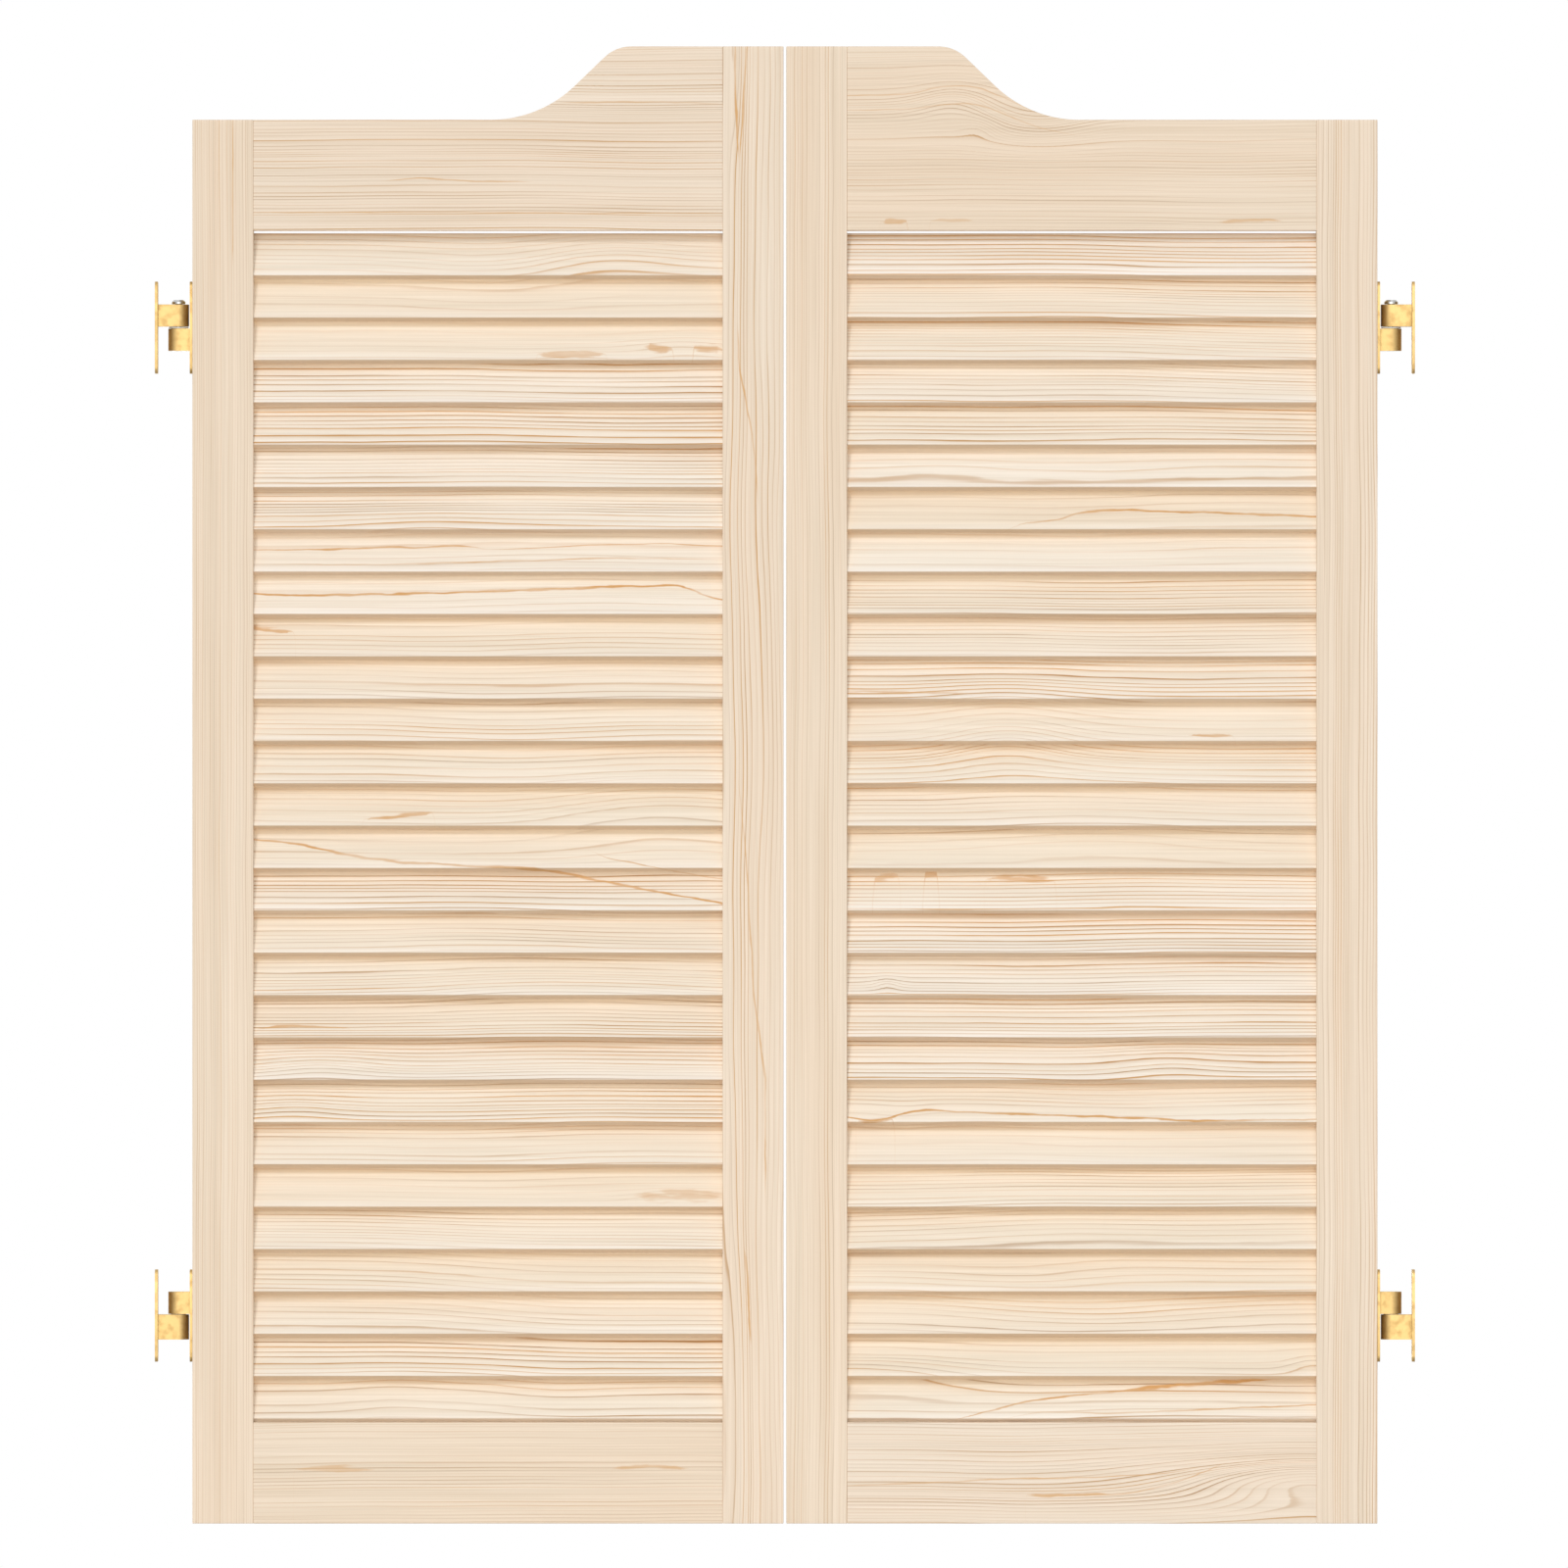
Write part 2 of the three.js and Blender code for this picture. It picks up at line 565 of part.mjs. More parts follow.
// The moving half of a leaf's two hinges, screwed to the edge of the hinge stile
function doorHardware(hand, side) {
  const [low, high] = hingeHeights();
  return [
    hingeGroup(side, low, [
      part(`${hand}_lower_door_bracket`, lowerDoorBracketSolid(), brass),
      part(`${hand}_lower_follower`, followerSolid(), nylon),
      ...doorScrews(hand, "lower"),
    ]),
    hingeGroup(side, high, [
      part(`${hand}_upper_door_bracket`, upperDoorBracketSolid(), brass),
      part(`${hand}_upper_bush`, bushSolid(), nylon),
      ...doorScrews(hand, "upper"),
    ]),
  ];
}

// The wooden leaf: two stiles, two rails, the louvre packs and the dowels
function woodwork(hand, side) {
  const group = new THREE.Group();
  group.position.x = side * AXIS_TO_LEAF;
  const inner = LEAF_WIDTH - STILE_WIDTH;
  group.add(
    part(`${hand}_hinge_stile`, hingeStileSolid(side), pine),
    part(`${hand}_meeting_stile`, stileSolid(side, LEAF_WIDTH, inner, LEAF_HEIGHT), pine),
    part(`${hand}_top_rail`, topRailSolid(side), pine),
    part(`${hand}_bottom_rail`, bottomRailSolid(side), pine),
  );
  for (let pack = 0; pack < PACKS_PER_LEAF; pack++) {
    const first = Math.round((pack * SLAT_COUNT) / PACKS_PER_LEAF);
    const last = Math.round(((pack + 1) * SLAT_COUNT) / PACKS_PER_LEAF) - 1;
    const mesh = part(`${hand}_louvre_pack_${pack + 1}`, louvrePackSolid(first, last), slatPine);
    mesh.position.x = (side * LEAF_WIDTH) / 2;
    group.add(mesh);
  }
  for (const place of dowelPlaces()) {
    const dowel = part(`${hand}_${place.name}`, dowelSolid(), beech);
    dowel.position.set(side * place.across, 0, place.height);
    group.add(dowel);
  }
  return group;
}

// A leaf in a group on its hinge axis, so that turning the group swings the leaf
function leaf(hand, side) {
  const group = new THREE.Group();
  group.position.x = -side * AXIS_X;
  group.add(woodwork(hand, side), ...doorHardware(hand, side));
  return group;
}

const cafeDoors = new THREE.Group();
for (const [hand, side] of [["left", 1], ["right", -1]]) {
  cafeDoors.add(jambHardware(hand, side), leaf(hand, side));
}

export default cafeDoors;
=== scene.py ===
import math

import bmesh
import bpy
import numpy as np
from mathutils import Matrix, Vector


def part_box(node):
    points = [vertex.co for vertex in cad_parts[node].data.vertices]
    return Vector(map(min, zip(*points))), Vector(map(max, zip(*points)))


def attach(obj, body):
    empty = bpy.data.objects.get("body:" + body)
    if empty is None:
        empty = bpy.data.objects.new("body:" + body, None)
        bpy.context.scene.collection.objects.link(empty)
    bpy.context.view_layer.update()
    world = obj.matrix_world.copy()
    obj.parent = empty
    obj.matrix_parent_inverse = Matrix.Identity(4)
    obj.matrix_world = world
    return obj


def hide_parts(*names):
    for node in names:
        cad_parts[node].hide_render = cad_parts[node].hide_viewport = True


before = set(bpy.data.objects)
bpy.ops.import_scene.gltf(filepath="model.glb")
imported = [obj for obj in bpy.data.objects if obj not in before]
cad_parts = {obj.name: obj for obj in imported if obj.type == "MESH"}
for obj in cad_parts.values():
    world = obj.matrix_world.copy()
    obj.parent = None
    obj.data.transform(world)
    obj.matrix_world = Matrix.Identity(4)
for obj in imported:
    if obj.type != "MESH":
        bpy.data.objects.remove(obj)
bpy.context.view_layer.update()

# Units and the two leaves
MM = 0.001
HANDS = ("left", "right")
TURN = 2 * math.pi

# Louvres
SLAT_COUNT = 28
SLATS_PER_PACK = 7
SLAT_WIDTH = 34.6 * MM
SLAT_THICKNESS = 6.4 * MM
SLAT_TILT = math.radians(27)
SLAT_EASE = 0.7 * MM
SLAT_HOUSING = 4.5 * MM
SLAT_FIT = 0.3 * MM
LIGHT_GAP = 1.6 * MM

# Colour painted along a slat for light and shade: painted shade on the strip at the top of its front and on
# its lower narrow edge, a painted highlight on the lip above its lower edge, and fainter lines on its
# narrow edges
SLAT_SHADE = 9.4 * MM
SLAT_SHADE_FADE = 2.5 * MM
SLAT_SHADE_WEIGHT = 0.8
TOP_SLAT_SHADE = 5.5 * MM
# Painted light: the top slat is made lighter to make up for the shade that the top rail casts on it
TOP_SLAT_PAINTED_LIGHT = 1.035
# Weight of the painted shade on the bottom slat's lower edge
BOTTOM_SLAT_EDGE_SHADE = 0
# Painted highlight: a band above each slat's lower edge is made whiter; its height, how much whiter, and
# how fast it rises
SLAT_HIGHLIGHT_BAND = 6 * MM
SLAT_HIGHLIGHT_TONE = 0.05
SLAT_HIGHLIGHT_RISE = 1.5
EDGE_FADE = 0.4 * SLAT_EASE
EDGE_PLAINNESS = 0.75

# Ogee step of the top rail
CREST_WIDTH = 110 * MM
CREST_RADIUS = 28 * MM
HOLLOW_RADIUS = 88 * MM
OGEE_SLOPE = math.radians(44)

# Eased arrises and grid steps
FRAME_EASE = 0.5 * MM
GLUE_LINE = 0.3 * MM
FRAME_STEP = 3 * MM
SLAT_STEP = 4 * MM
CORNER_STEPS = 3
CORNER_SUPPORT = 0.98
END_ANGLES = np.radians([25, 50, 72, 85])
CAP_SCALES = np.array([0.7, 0.4])

# Faces across the thickness and across the width of each kind of board
STILE_FACES = (10, 26)
BOTTOM_RAIL_FACES = (10, 40)
TOP_RAIL_FACES = (10, 70)
SLAT_FACES = (2, 12)

# Directions in which a board's length, thickness and width point
UPRIGHT = ((0, 0, 1), (0, -1, 0), (1, 0, 0))
LEVEL = ((1, 0, 0), (0, 1, 0), (0, 0, 1))

# Hinge pieces: rounding of their edges, and the angles of edges that are dissolved and that are rounded
METAL_EASE = 0.25 * MM
METAL_EASE_STEPS = 2
MERGE_DISTANCE = 0.001 * MM
FLAT_ANGLE = math.radians(1)
SHARP_ANGLE = math.radians(32)

# Photograph's framing: real width of the picture and the point in its middle
PICTURE_WIDTH = 1132.6 * MM
PICTURE_MIDDLE_X = -0.65 * MM
PICTURE_MIDDLE_Z = 534.2 * MM
LENS = 600
SENSOR = 36
FAR_CLIP = 200

# Light levels, in parts of a white surface that faces the lamp
AMBIENT = 0.22
NARROW_ANGLE = math.radians(8)
SOFT_ANGLE = math.radians(34)
SKY_ANGLE = math.radians(90)
# Lamps: name, direction of the light, level and the angle that the lamp fills
LAMPS = (
    ("key", (0.17, 1, -0.5), 0.205, NARROW_ANGLE),
    ("front_fill", (0.05, 1, -0.02), 0.4, SOFT_ANGLE),
    ("high_fill", (0.1, 1, -1.2), 0.19, SKY_ANGLE),
    ("back_fill", (0.1, -1, 0.12), 0.25, NARROW_ANGLE),
    ("back_left", (1.3, -0.7, -0.45), 0.4, SOFT_ANGLE),
    ("back_right", (-1.3, -0.7, -0.45), 0.4, SOFT_ANGLE),
)

# Floor: height, half width, and how far from its middle it begins to fade
FLOOR_LEVEL = -400 * MM
FLOOR_HALF = 2.6
FLOOR_SOLID = 1.1
FLOOR_PALE = (0.95, 0.95, 0.95, 1)
FLOOR_SPECKLE = (0.92, 0.92, 0.92, 1)
FLOOR_BOUNCE = (0.5, 0.5, 0.5, 1)
FLOOR_TURNS = (7, 7, 7)
FLOOR_ROUGHNESS = 0.8

# Turns per metre of each finish's noise on its three axes; in wood the first runs along the grain
RING_WOBBLE_TURNS = (16, 150, 150)
RING_PATCH_TURNS = (5, 45, 45)
THIN_FIBRE_TURNS = (8, 950, 950)
BROAD_FIBRE_TURNS = (5, 420, 420)
DRIFT_TURNS = (2.6, 34, 34)
BAND_TURNS = (1.3, 90, 90)
STREAK_EDGE_TURNS = (48, 260, 260)
STREAK_PATCH_TURNS = (17, 60, 60)
BEECH_RAY_TURNS = (160, 1400, 1400)
BRUSHING_TURNS = (5200, 5200, 260)
WEAR_TURNS = (140, 140, 140)
NYLON_FLOW_TURNS = (300, 300, 90)
# The middle range, in which most values of a noise lie
NOISE = (0.3, 0.7)

# Profile of a growth ring, in parts of the ring: a thin dark line on a broad blush
LINE_RISE = (0.74, 0.89)
LINE_FALL = (0.92, 1.0)
LINE_SHARE = 0.76
BLUSH_RISE = (0.25, 0.95)
BLUSH_SHARE = 0.24
RING_WOBBLE = 0.34
# Strength of the rings: most are faint, and each is stronger and weaker in patches
RING_CHANCE_POWER = 1.6
STRONGEST_RING = 1.4
PATCH_STRENGTH = (0.4, 1.35)
FRAME_FAINTEST_RING = 0.25
SLAT_FAINTEST_RING = 0.5

# Tones of the pine
ROSY_TINT = (1.0, 0.972, 0.95, 1)
DRIFT_NOISE = (0.35, 0.65)
FIBRE_NOISE = (0.34, 0.66)
FIBRE_TONE = (0.915, 1.06)
BAND_TONE = (0.965, 1.025)
# How far darker fibres and darker boards lean to yellow: powers of the two tones in each colour
TONE_POWERS = (("Red", 0.85, 0.6), ("Green", 1.0, 1.1), ("Blue", 1.3, 2.0))
# Painted shade: colours that darken and brown a slat's lower narrow edge and the strip of its front under
# the slat above, where shade falls
PAINTED_EDGE_SHADE = (0.9, 0.75, 0.6, 1)
PAINTED_STRIP_SHADE = (0.93, 0.86, 0.77, 1)
PINE_ROUGHNESS = (0.52, 0.66)
PINE_SHINE = 0.3
PINE_RELIEF = 0.1 * MM
LINE_HEIGHT = 0.1
BUMP_STRENGTH = 0.08

# Resin streaks: how noise moves their edges, in half widths, and how their colour comes and goes
STREAK_EDGE_NOISE = (0.25, 0.75)
STREAK_EDGE_SHIFT = (-0.75, 0.75)
STREAK_PATCH_NOISE = (0.32, 0.62)
STREAK_PATCH_SHARE = (0.6, 1.4)
STREAK_SOFT_EDGE = (0.3, 1.1)
# Streaks' lines: the run over which corners are averaged, the taper of the ends and the fade of the colour
STREAK_COLUMNS = 3
STREAK_SMOOTHING = 9 * MM
STREAK_SAMPLES = 9
STREAK_TIP = 0.25
STREAK_FADE = 8
FAR_FROM_STREAK = 9.0

# Beech, metal and nylon
BEECH_RAY_NOISE = (0.6, 0.72)
BEECH_RAY_DEPTH = 0.6
BEECH_ROUGHNESS = (0.6, 0.75)
WEAR_NOISE = (0.42, 0.68)
WEAR_WEIGHT = 0.35
METAL_WEAR = (0.3, 0.95)
METAL_RELIEF = 0.05 * MM
BRASS_ROUGHNESS = (0.5, 0.62)
STEEL_ROUGHNESS = (0.22, 0.4)
NYLON_ROUGHNESS = (0.4, 0.52)


def srgb(red, green, blue):
    """A colour written as eight-bit values, as linear light."""
    values = np.array([red, green, blue]) / 255
    linear = np.where(values <= 0.04045, values / 12.92, ((values + 0.055) / 1.055) ** 2.4)
    return (*linear, 1.0)


# Colours of the finishes
FRAME_PINE = {
    "earlywood": srgb(241, 223, 200),
    "brown_latewood": srgb(176, 143, 107),
    "warm_latewood": srgb(206, 157, 97),
    "resin": srgb(218, 170, 114),
}
SLAT_PINE = {
    "earlywood": srgb(245, 233, 215),
    "brown_latewood": srgb(177, 142, 105),
    "warm_latewood": srgb(208, 157, 95),
    "resin": srgb(213, 163, 106),
}
BEECH_PALE = srgb(217, 185, 143)
BEECH_DEEP = srgb(201, 162, 118)
BEECH_RAY = srgb(150, 104, 66)
BRASS_BRIGHT = srgb(192, 163, 108)
BRASS_DULL = srgb(180, 150, 97)
STEEL_BRIGHT = srgb(196, 196, 194)
STEEL_DULL = srgb(164, 164, 162)
NYLON_PALE = srgb(238, 235, 226)
NYLON_DEEP = srgb(225, 221, 208)


# Shader nodes

# Sockets of a Mix node that serve colours
MIX_FACTOR = 0
MIX_FIRST = 6
MIX_SECOND = 7
MIX_RESULT = 2


def add_node(tree, kind, sockets=None, **settings):
    """A node with its settings, and its inputs linked or set by name or number."""
    made = tree.nodes.new(kind)
    for name, value in settings.items():
        setattr(made, name, value)
    for key, value in (sockets or {}).items():
        if isinstance(value, bpy.types.NodeSocket):
            tree.links.new(value, made.inputs[key])
        else:
            made.inputs[key].default_value = value
    return made


def calculate(tree, operation, *values, clamp=False):
    """The result of a Math node."""
    sockets = dict(enumerate(values))
    return add_node(tree, "ShaderNodeMath", sockets, operation=operation, use_clamp=clamp).outputs[0]


def remap(tree, value, span, to_span, smooth=False):
    """A value carried from one range to another, held at the ends."""
    low, high = span
    to_low, to_high = to_span
    sockets = {"Value": value, "From Min": low, "From Max": high, "To Min": to_low, "To Max": to_high}
    kind = "SMOOTHSTEP" if smooth else "LINEAR"
    return add_node(tree, "ShaderNodeMapRange", sockets, interpolation_type=kind).outputs["Result"]


def mix_colours(tree, factor, first, second, blend="MIX"):
    """Two colours, mixed by a factor or blended in another way."""
    sockets = {MIX_FACTOR: factor, MIX_FIRST: first, MIX_SECOND: second}
    made = add_node(tree, "ShaderNodeMix", sockets, data_type="RGBA", blend_type=blend)
    return made.outputs[MIX_RESULT]


def tinted(tree, colour, tint):
    """A colour multiplied by another."""
    return mix_colours(tree, 1.0, colour, tint, "MULTIPLY")


def stretched_noise(tree, place, turns, detail):
    """Noise drawn out along the grain: the place is scaled on each axis before it is read."""
    scaled = add_node(tree, "ShaderNodeVectorMath", {0: place, 1: turns}, operation="MULTIPLY")
    sockets = {"Vector": scaled.outputs[0], "Scale": 1.0, "Detail": detail}
    return add_node(tree, "ShaderNodeTexNoise", sockets).outputs[0]


def new_group(name, inputs, outputs):
    """An empty shader group with named sockets; returns its tree and its two end nodes."""
    tree = bpy.data.node_groups.new(name, "ShaderNodeTree")
    for direction, sockets in (("INPUT", inputs), ("OUTPUT", outputs)):
        for label, kind in sockets:
            tree.interface.new_socket(label, in_out=direction, socket_type=kind)
    return tree, tree.nodes.new("NodeGroupInput"), tree.nodes.new("NodeGroupOutput")


def use_group(tree, group, sockets):
    """A node that stands for a group, with the group's inputs linked or set by name."""
    return add_node(tree, "ShaderNodeGroup", sockets, node_tree=group)


def new_material(name):
    """A material with only its shader and output; returns it, its tree and the shader."""
    material = bpy.data.materials.new(name)
    material.use_nodes = True
    return material, material.node_tree, material.node_tree.nodes["Principled BSDF"]


def read_attribute(tree, name, output):
    """One of a mesh's own values, as stored by its points."""
    return add_node(tree, "ShaderNodeAttribute", attribute_name=name).outputs[output]


# Wood

def growth_ring_group():
    """Latewood lines: each ring darkens slowly and ends sharply; rings differ in strength and warmth.

    A line is a thin rise plus a broad blush, times the fall at the ring's end, times its strength.
    """
    inputs = [("Ring", "NodeSocketFloat"), ("Place", "NodeSocketVector"), ("Strength", "NodeSocketFloat"),
              ("Faintest", "NodeSocketFloat")]
    outputs = [("Line", "NodeSocketFloat"), ("Warmth", "NodeSocketFloat")]
    tree, given, result = new_group("growth_rings", inputs, outputs)
    wobble = stretched_noise(tree, given.outputs["Place"], RING_WOBBLE_TURNS, detail=2)
    shifted = calculate(tree, "MULTIPLY_ADD", wobble, RING_WOBBLE, given.outputs["Ring"])
    part = calculate(tree, "FRACT", shifted)
    line_rise = remap(tree, part, LINE_RISE, (0.0, LINE_SHARE), smooth=True)
    blush_rise = remap(tree, part, BLUSH_RISE, (0.0, BLUSH_SHARE), smooth=True)
    fall = remap(tree, part, LINE_FALL, (1.0, 0.0), smooth=True)
    profile = calculate(tree, "MULTIPLY", calculate(tree, "ADD", line_rise, blush_rise), fall)
    number = calculate(tree, "FLOOR", shifted)
    chance = add_node(tree, "ShaderNodeTexWhiteNoise", {"W": number}, noise_dimensions="1D")
    share = calculate(tree, "POWER", chance.outputs["Value"], RING_CHANCE_POWER)
    ring_strength = remap(tree, share, (0.0, 1.0), (given.outputs["Faintest"], STRONGEST_RING))
    patch = stretched_noise(tree, given.outputs["Place"], RING_PATCH_TURNS, detail=1)
    patch_strength = remap(tree, patch, NOISE, PATCH_STRENGTH)
    uneven = calculate(tree, "MULTIPLY", ring_strength, patch_strength)
    strength = calculate(tree, "MULTIPLY", uneven, given.outputs["Strength"])
    line = calculate(tree, "MULTIPLY", profile, strength, clamp=True)
    chances = add_node(tree, "ShaderNodeSeparateColor", {0: chance.outputs["Color"]})
    tree.links.new(chances.outputs["Green"], result.inputs["Warmth"])
    tree.links.new(line, result.inputs["Line"])
    return tree


def wood_fibre_group():
    """Fine fibres along the grain, slow drifts of colour in long patches, and long bands of tone."""
    outputs = [("Fibre", "NodeSocketFloat"), ("Drift", "NodeSocketFloat"), ("Bands", "NodeSocketFloat")]
    tree, given, result = new_group("wood_fibre", [("Place", "NodeSocketVector")], outputs)
    thin = stretched_noise(tree, given.outputs["Place"], THIN_FIBRE_TURNS, detail=2)
    broad = stretched_noise(tree, given.outputs["Place"], BROAD_FIBRE_TURNS, detail=2)
    fibre = calculate(tree, "MULTIPLY", calculate(tree, "ADD", thin, broad), 0.5)
    drift = stretched_noise(tree, given.outputs["Place"], DRIFT_TURNS, detail=2)
    bands = stretched_noise(tree, given.outputs["Place"], BAND_TURNS, detail=2)
    tree.links.new(fibre, result.inputs["Fibre"])
    tree.links.new(drift, result.inputs["Drift"])
    tree.links.new(bands, result.inputs["Bands"])
    return tree


def pine_tone(tree, fibre, board_tone):
    """Colour that multiplies the wood: fibres and bands make one tone, the board gives another.

    In red, green and blue each tone is raised to its own power, so that darker wood is yellower.
    """
    grey = remap(tree, fibre.outputs["Fibre"], FIBRE_NOISE, FIBRE_TONE)
    bands = remap(tree, fibre.outputs["Bands"], NOISE, BAND_TONE)
    fibre_tone = calculate(tree, "MULTIPLY", grey, bands)
    tones = {}
    for channel, fibre_power, board_power in TONE_POWERS:
        fibre_part = calculate(tree, "POWER", fibre_tone, fibre_power)
        board_part = calculate(tree, "POWER", board_tone, board_power)
        tones[channel] = calculate(tree, "MULTIPLY", fibre_part, board_part)
    return add_node(tree, "ShaderNodeCombineColor", tones).outputs[0]


def resin_mask(tree, place):
    """Resin streaks: three signed distances, in parts of a streak's half width, become soft lines.

    Noise along the grain moves a line's edges a little and lets its colour come and go.
    """
    edge_noise = stretched_noise(tree, place, STREAK_EDGE_TURNS, detail=2)
    shift = remap(tree, edge_noise, STREAK_EDGE_NOISE, STREAK_EDGE_SHIFT)
    patch = stretched_noise(tree, place, STREAK_PATCH_TURNS, detail=2)
    share = remap(tree, patch, STREAK_PATCH_NOISE, STREAK_PATCH_SHARE)
    distances = add_node(tree, "ShaderNodeSeparateXYZ", {0: read_attribute(tree, "streak", "Vector")})
    weights = add_node(tree, "ShaderNodeSeparateXYZ", {0: read_attribute(tree, "streak_weight", "Vector")})
    total = 0.0
    for distance, weight in zip(distances.outputs, weights.outputs):
        moved = calculate(tree, "ABSOLUTE", calculate(tree, "ADD", distance, shift))
        line = remap(tree, moved, STREAK_SOFT_EDGE, (1.0, 0.0), smooth=True)
        total = calculate(tree, "MAXIMUM", total, calculate(tree, "MULTIPLY", line, weight))
    return calculate(tree, "MULTIPLY", total, share, clamp=True)


def pine_material(name, groups, faintest, colours):
    """Bare pine: the boards carry ring count, grain place, figure with painted light and shade, warmth and
    resin streaks.

    Earlywood turns to latewood along the lines; drift and tones, which on slats hold painted light,
    multiply the colour;
    the painted shade on the slats' lower edges and top strips is laid over it, and the resin last.
    """
    material, tree, shader = new_material(name)
    place = read_attribute(tree, "place", "Vector")
    figure_and_painted_light = add_node(tree, "ShaderNodeSeparateXYZ", {0: read_attribute(tree, "figure_and_painted_light", "Vector")})
    rings = use_group(tree, groups["rings"], {
        "Ring": read_attribute(tree, "ring", "Fac"), "Place": place, "Strength": figure_and_painted_light.outputs["X"],
        "Faintest": faintest})
    fibre = use_group(tree, groups["fibre"], {"Place": place})
    board_warmth = read_attribute(tree, "warmth", "Fac")
    warmth = calculate(tree, "ADD", rings.outputs["Warmth"], board_warmth, clamp=True)
    latewood = mix_colours(tree, warmth, colours["brown_latewood"], colours["warm_latewood"])
    wood = mix_colours(tree, rings.outputs["Line"], colours["earlywood"], latewood)
    drift = remap(tree, fibre.outputs["Drift"], DRIFT_NOISE, (0.0, 1.0))
    drifting = mix_colours(tree, drift, wood, tinted(tree, wood, ROSY_TINT))
    toned = tinted(tree, drifting, pine_tone(tree, fibre, figure_and_painted_light.outputs["Y"]))
    # Painted shade: where the third value is above nought it darkens and browns the slats' lower narrow
    # edges, where below nought the top strip of their fronts under the slat above
    edge = calculate(tree, "MAXIMUM", figure_and_painted_light.outputs["Z"], 0.0)
    strip = calculate(tree, "MAXIMUM", calculate(tree, "MULTIPLY", figure_and_painted_light.outputs["Z"], -1.0), 0.0)
    edge_shaded = mix_colours(tree, edge, toned, tinted(tree, toned, PAINTED_EDGE_SHADE))
    shaded = mix_colours(tree, strip, edge_shaded, tinted(tree, edge_shaded, PAINTED_STRIP_SHADE))
    colour = mix_colours(tree, resin_mask(tree, place), shaded, colours["resin"])
    tree.links.new(colour, shader.inputs["Base Color"])
    rough = remap(tree, fibre.outputs["Fibre"], NOISE, PINE_ROUGHNESS)
    tree.links.new(rough, shader.inputs["Roughness"])
    height = calculate(tree, "MULTIPLY_ADD", rings.outputs["Line"], LINE_HEIGHT, fibre.outputs["Fibre"])
    bump = add_node(tree, "ShaderNodeBump", {
        "Height": height, "Strength": BUMP_STRENGTH, "Distance": PINE_RELIEF})
    tree.links.new(bump.outputs["Normal"], shader.inputs["Normal"])
    shader.inputs["Specular IOR Level"].default_value = PINE_SHINE
    return material


def beech_material(groups):
    """Dowel beech: pale brown with short dark rays along each peg."""
    material, tree, shader = new_material("dowel_beech")
    place = add_node(tree, "ShaderNodeTexCoord").outputs["Object"]
    fibre = use_group(tree, groups["fibre"], {"Place": place})
    rays = stretched_noise(tree, place, BEECH_RAY_TURNS, detail=1)
    base = mix_colours(tree, fibre.outputs["Drift"], BEECH_PALE, BEECH_DEEP)
    ray_share = remap(tree, rays, BEECH_RAY_NOISE, (0.0, BEECH_RAY_DEPTH))
    tree.links.new(mix_colours(tree, ray_share, base, BEECH_RAY), shader.inputs["Base Color"])
    rough = remap(tree, fibre.outputs["Fibre"], NOISE, BEECH_ROUGHNESS)
    tree.links.new(rough, shader.inputs["Roughness"])
    return material


# Metal, nylon and floor

def handling_wear_group():
    """Marks on metal: fine brushing along the height and dull patches where it has been handled."""
    outputs = [("Brushing", "NodeSocketFloat"), ("Dull", "NodeSocketFloat")]
    tree, given, result = new_group("handling_wear", [("Place", "NodeSocketVector")], outputs)
    brushing = stretched_noise(tree, given.outputs["Place"], BRUSHING_TURNS, detail=2)
    patches = stretched_noise(tree, given.outputs["Place"], WEAR_TURNS, detail=3)
    dull = remap(tree, patches, WEAR_NOISE, (0.0, 1.0), smooth=True)
    tree.links.new(brushing, result.inputs["Brushing"])
    tree.links.new(dull, result.inputs["Dull"])
    return tree


def metal_material(name, groups, bright, dull, roughness):
    """A brushed metal that is duller and rougher in patches."""
    material, tree, shader = new_material(name)
    place = add_node(tree, "ShaderNodeTexCoord").outputs["Object"]
    wear = use_group(tree, groups["wear"], {"Place": place})
    colour = mix_colours(tree, wear.outputs["Dull"], bright, dull)
    tree.links.new(colour, shader.inputs["Base Color"])
    patchy = calculate(tree, "MULTIPLY_ADD", wear.outputs["Dull"], WEAR_WEIGHT, wear.outputs["Brushing"])
    tree.links.new(remap(tree, patchy, METAL_WEAR, roughness), shader.inputs["Roughness"])
    bump = add_node(tree, "ShaderNodeBump", {
        "Height": wear.outputs["Brushing"], "Strength": BUMP_STRENGTH, "Distance": METAL_RELIEF})
    tree.links.new(bump.outputs["Normal"], shader.inputs["Normal"])
    shader.inputs["Metallic"].default_value = 1.0
    return material


def nylon_material():
    """Moulded nylon: an off-white body with faint flow marks and a satin skin."""
    material, tree, shader = new_material("moulded_nylon")
    place = add_node(tree, "ShaderNodeTexCoord").outputs["Object"]
    flow = stretched_noise(tree, place, NYLON_FLOW_TURNS, detail=3)
    tree.links.new(mix_colours(tree, flow, NYLON_PALE, NYLON_DEEP), shader.inputs["Base Color"])
    tree.links.new(remap(tree, flow, NOISE, NYLON_ROUGHNESS), shader.inputs["Roughness"])
    return material


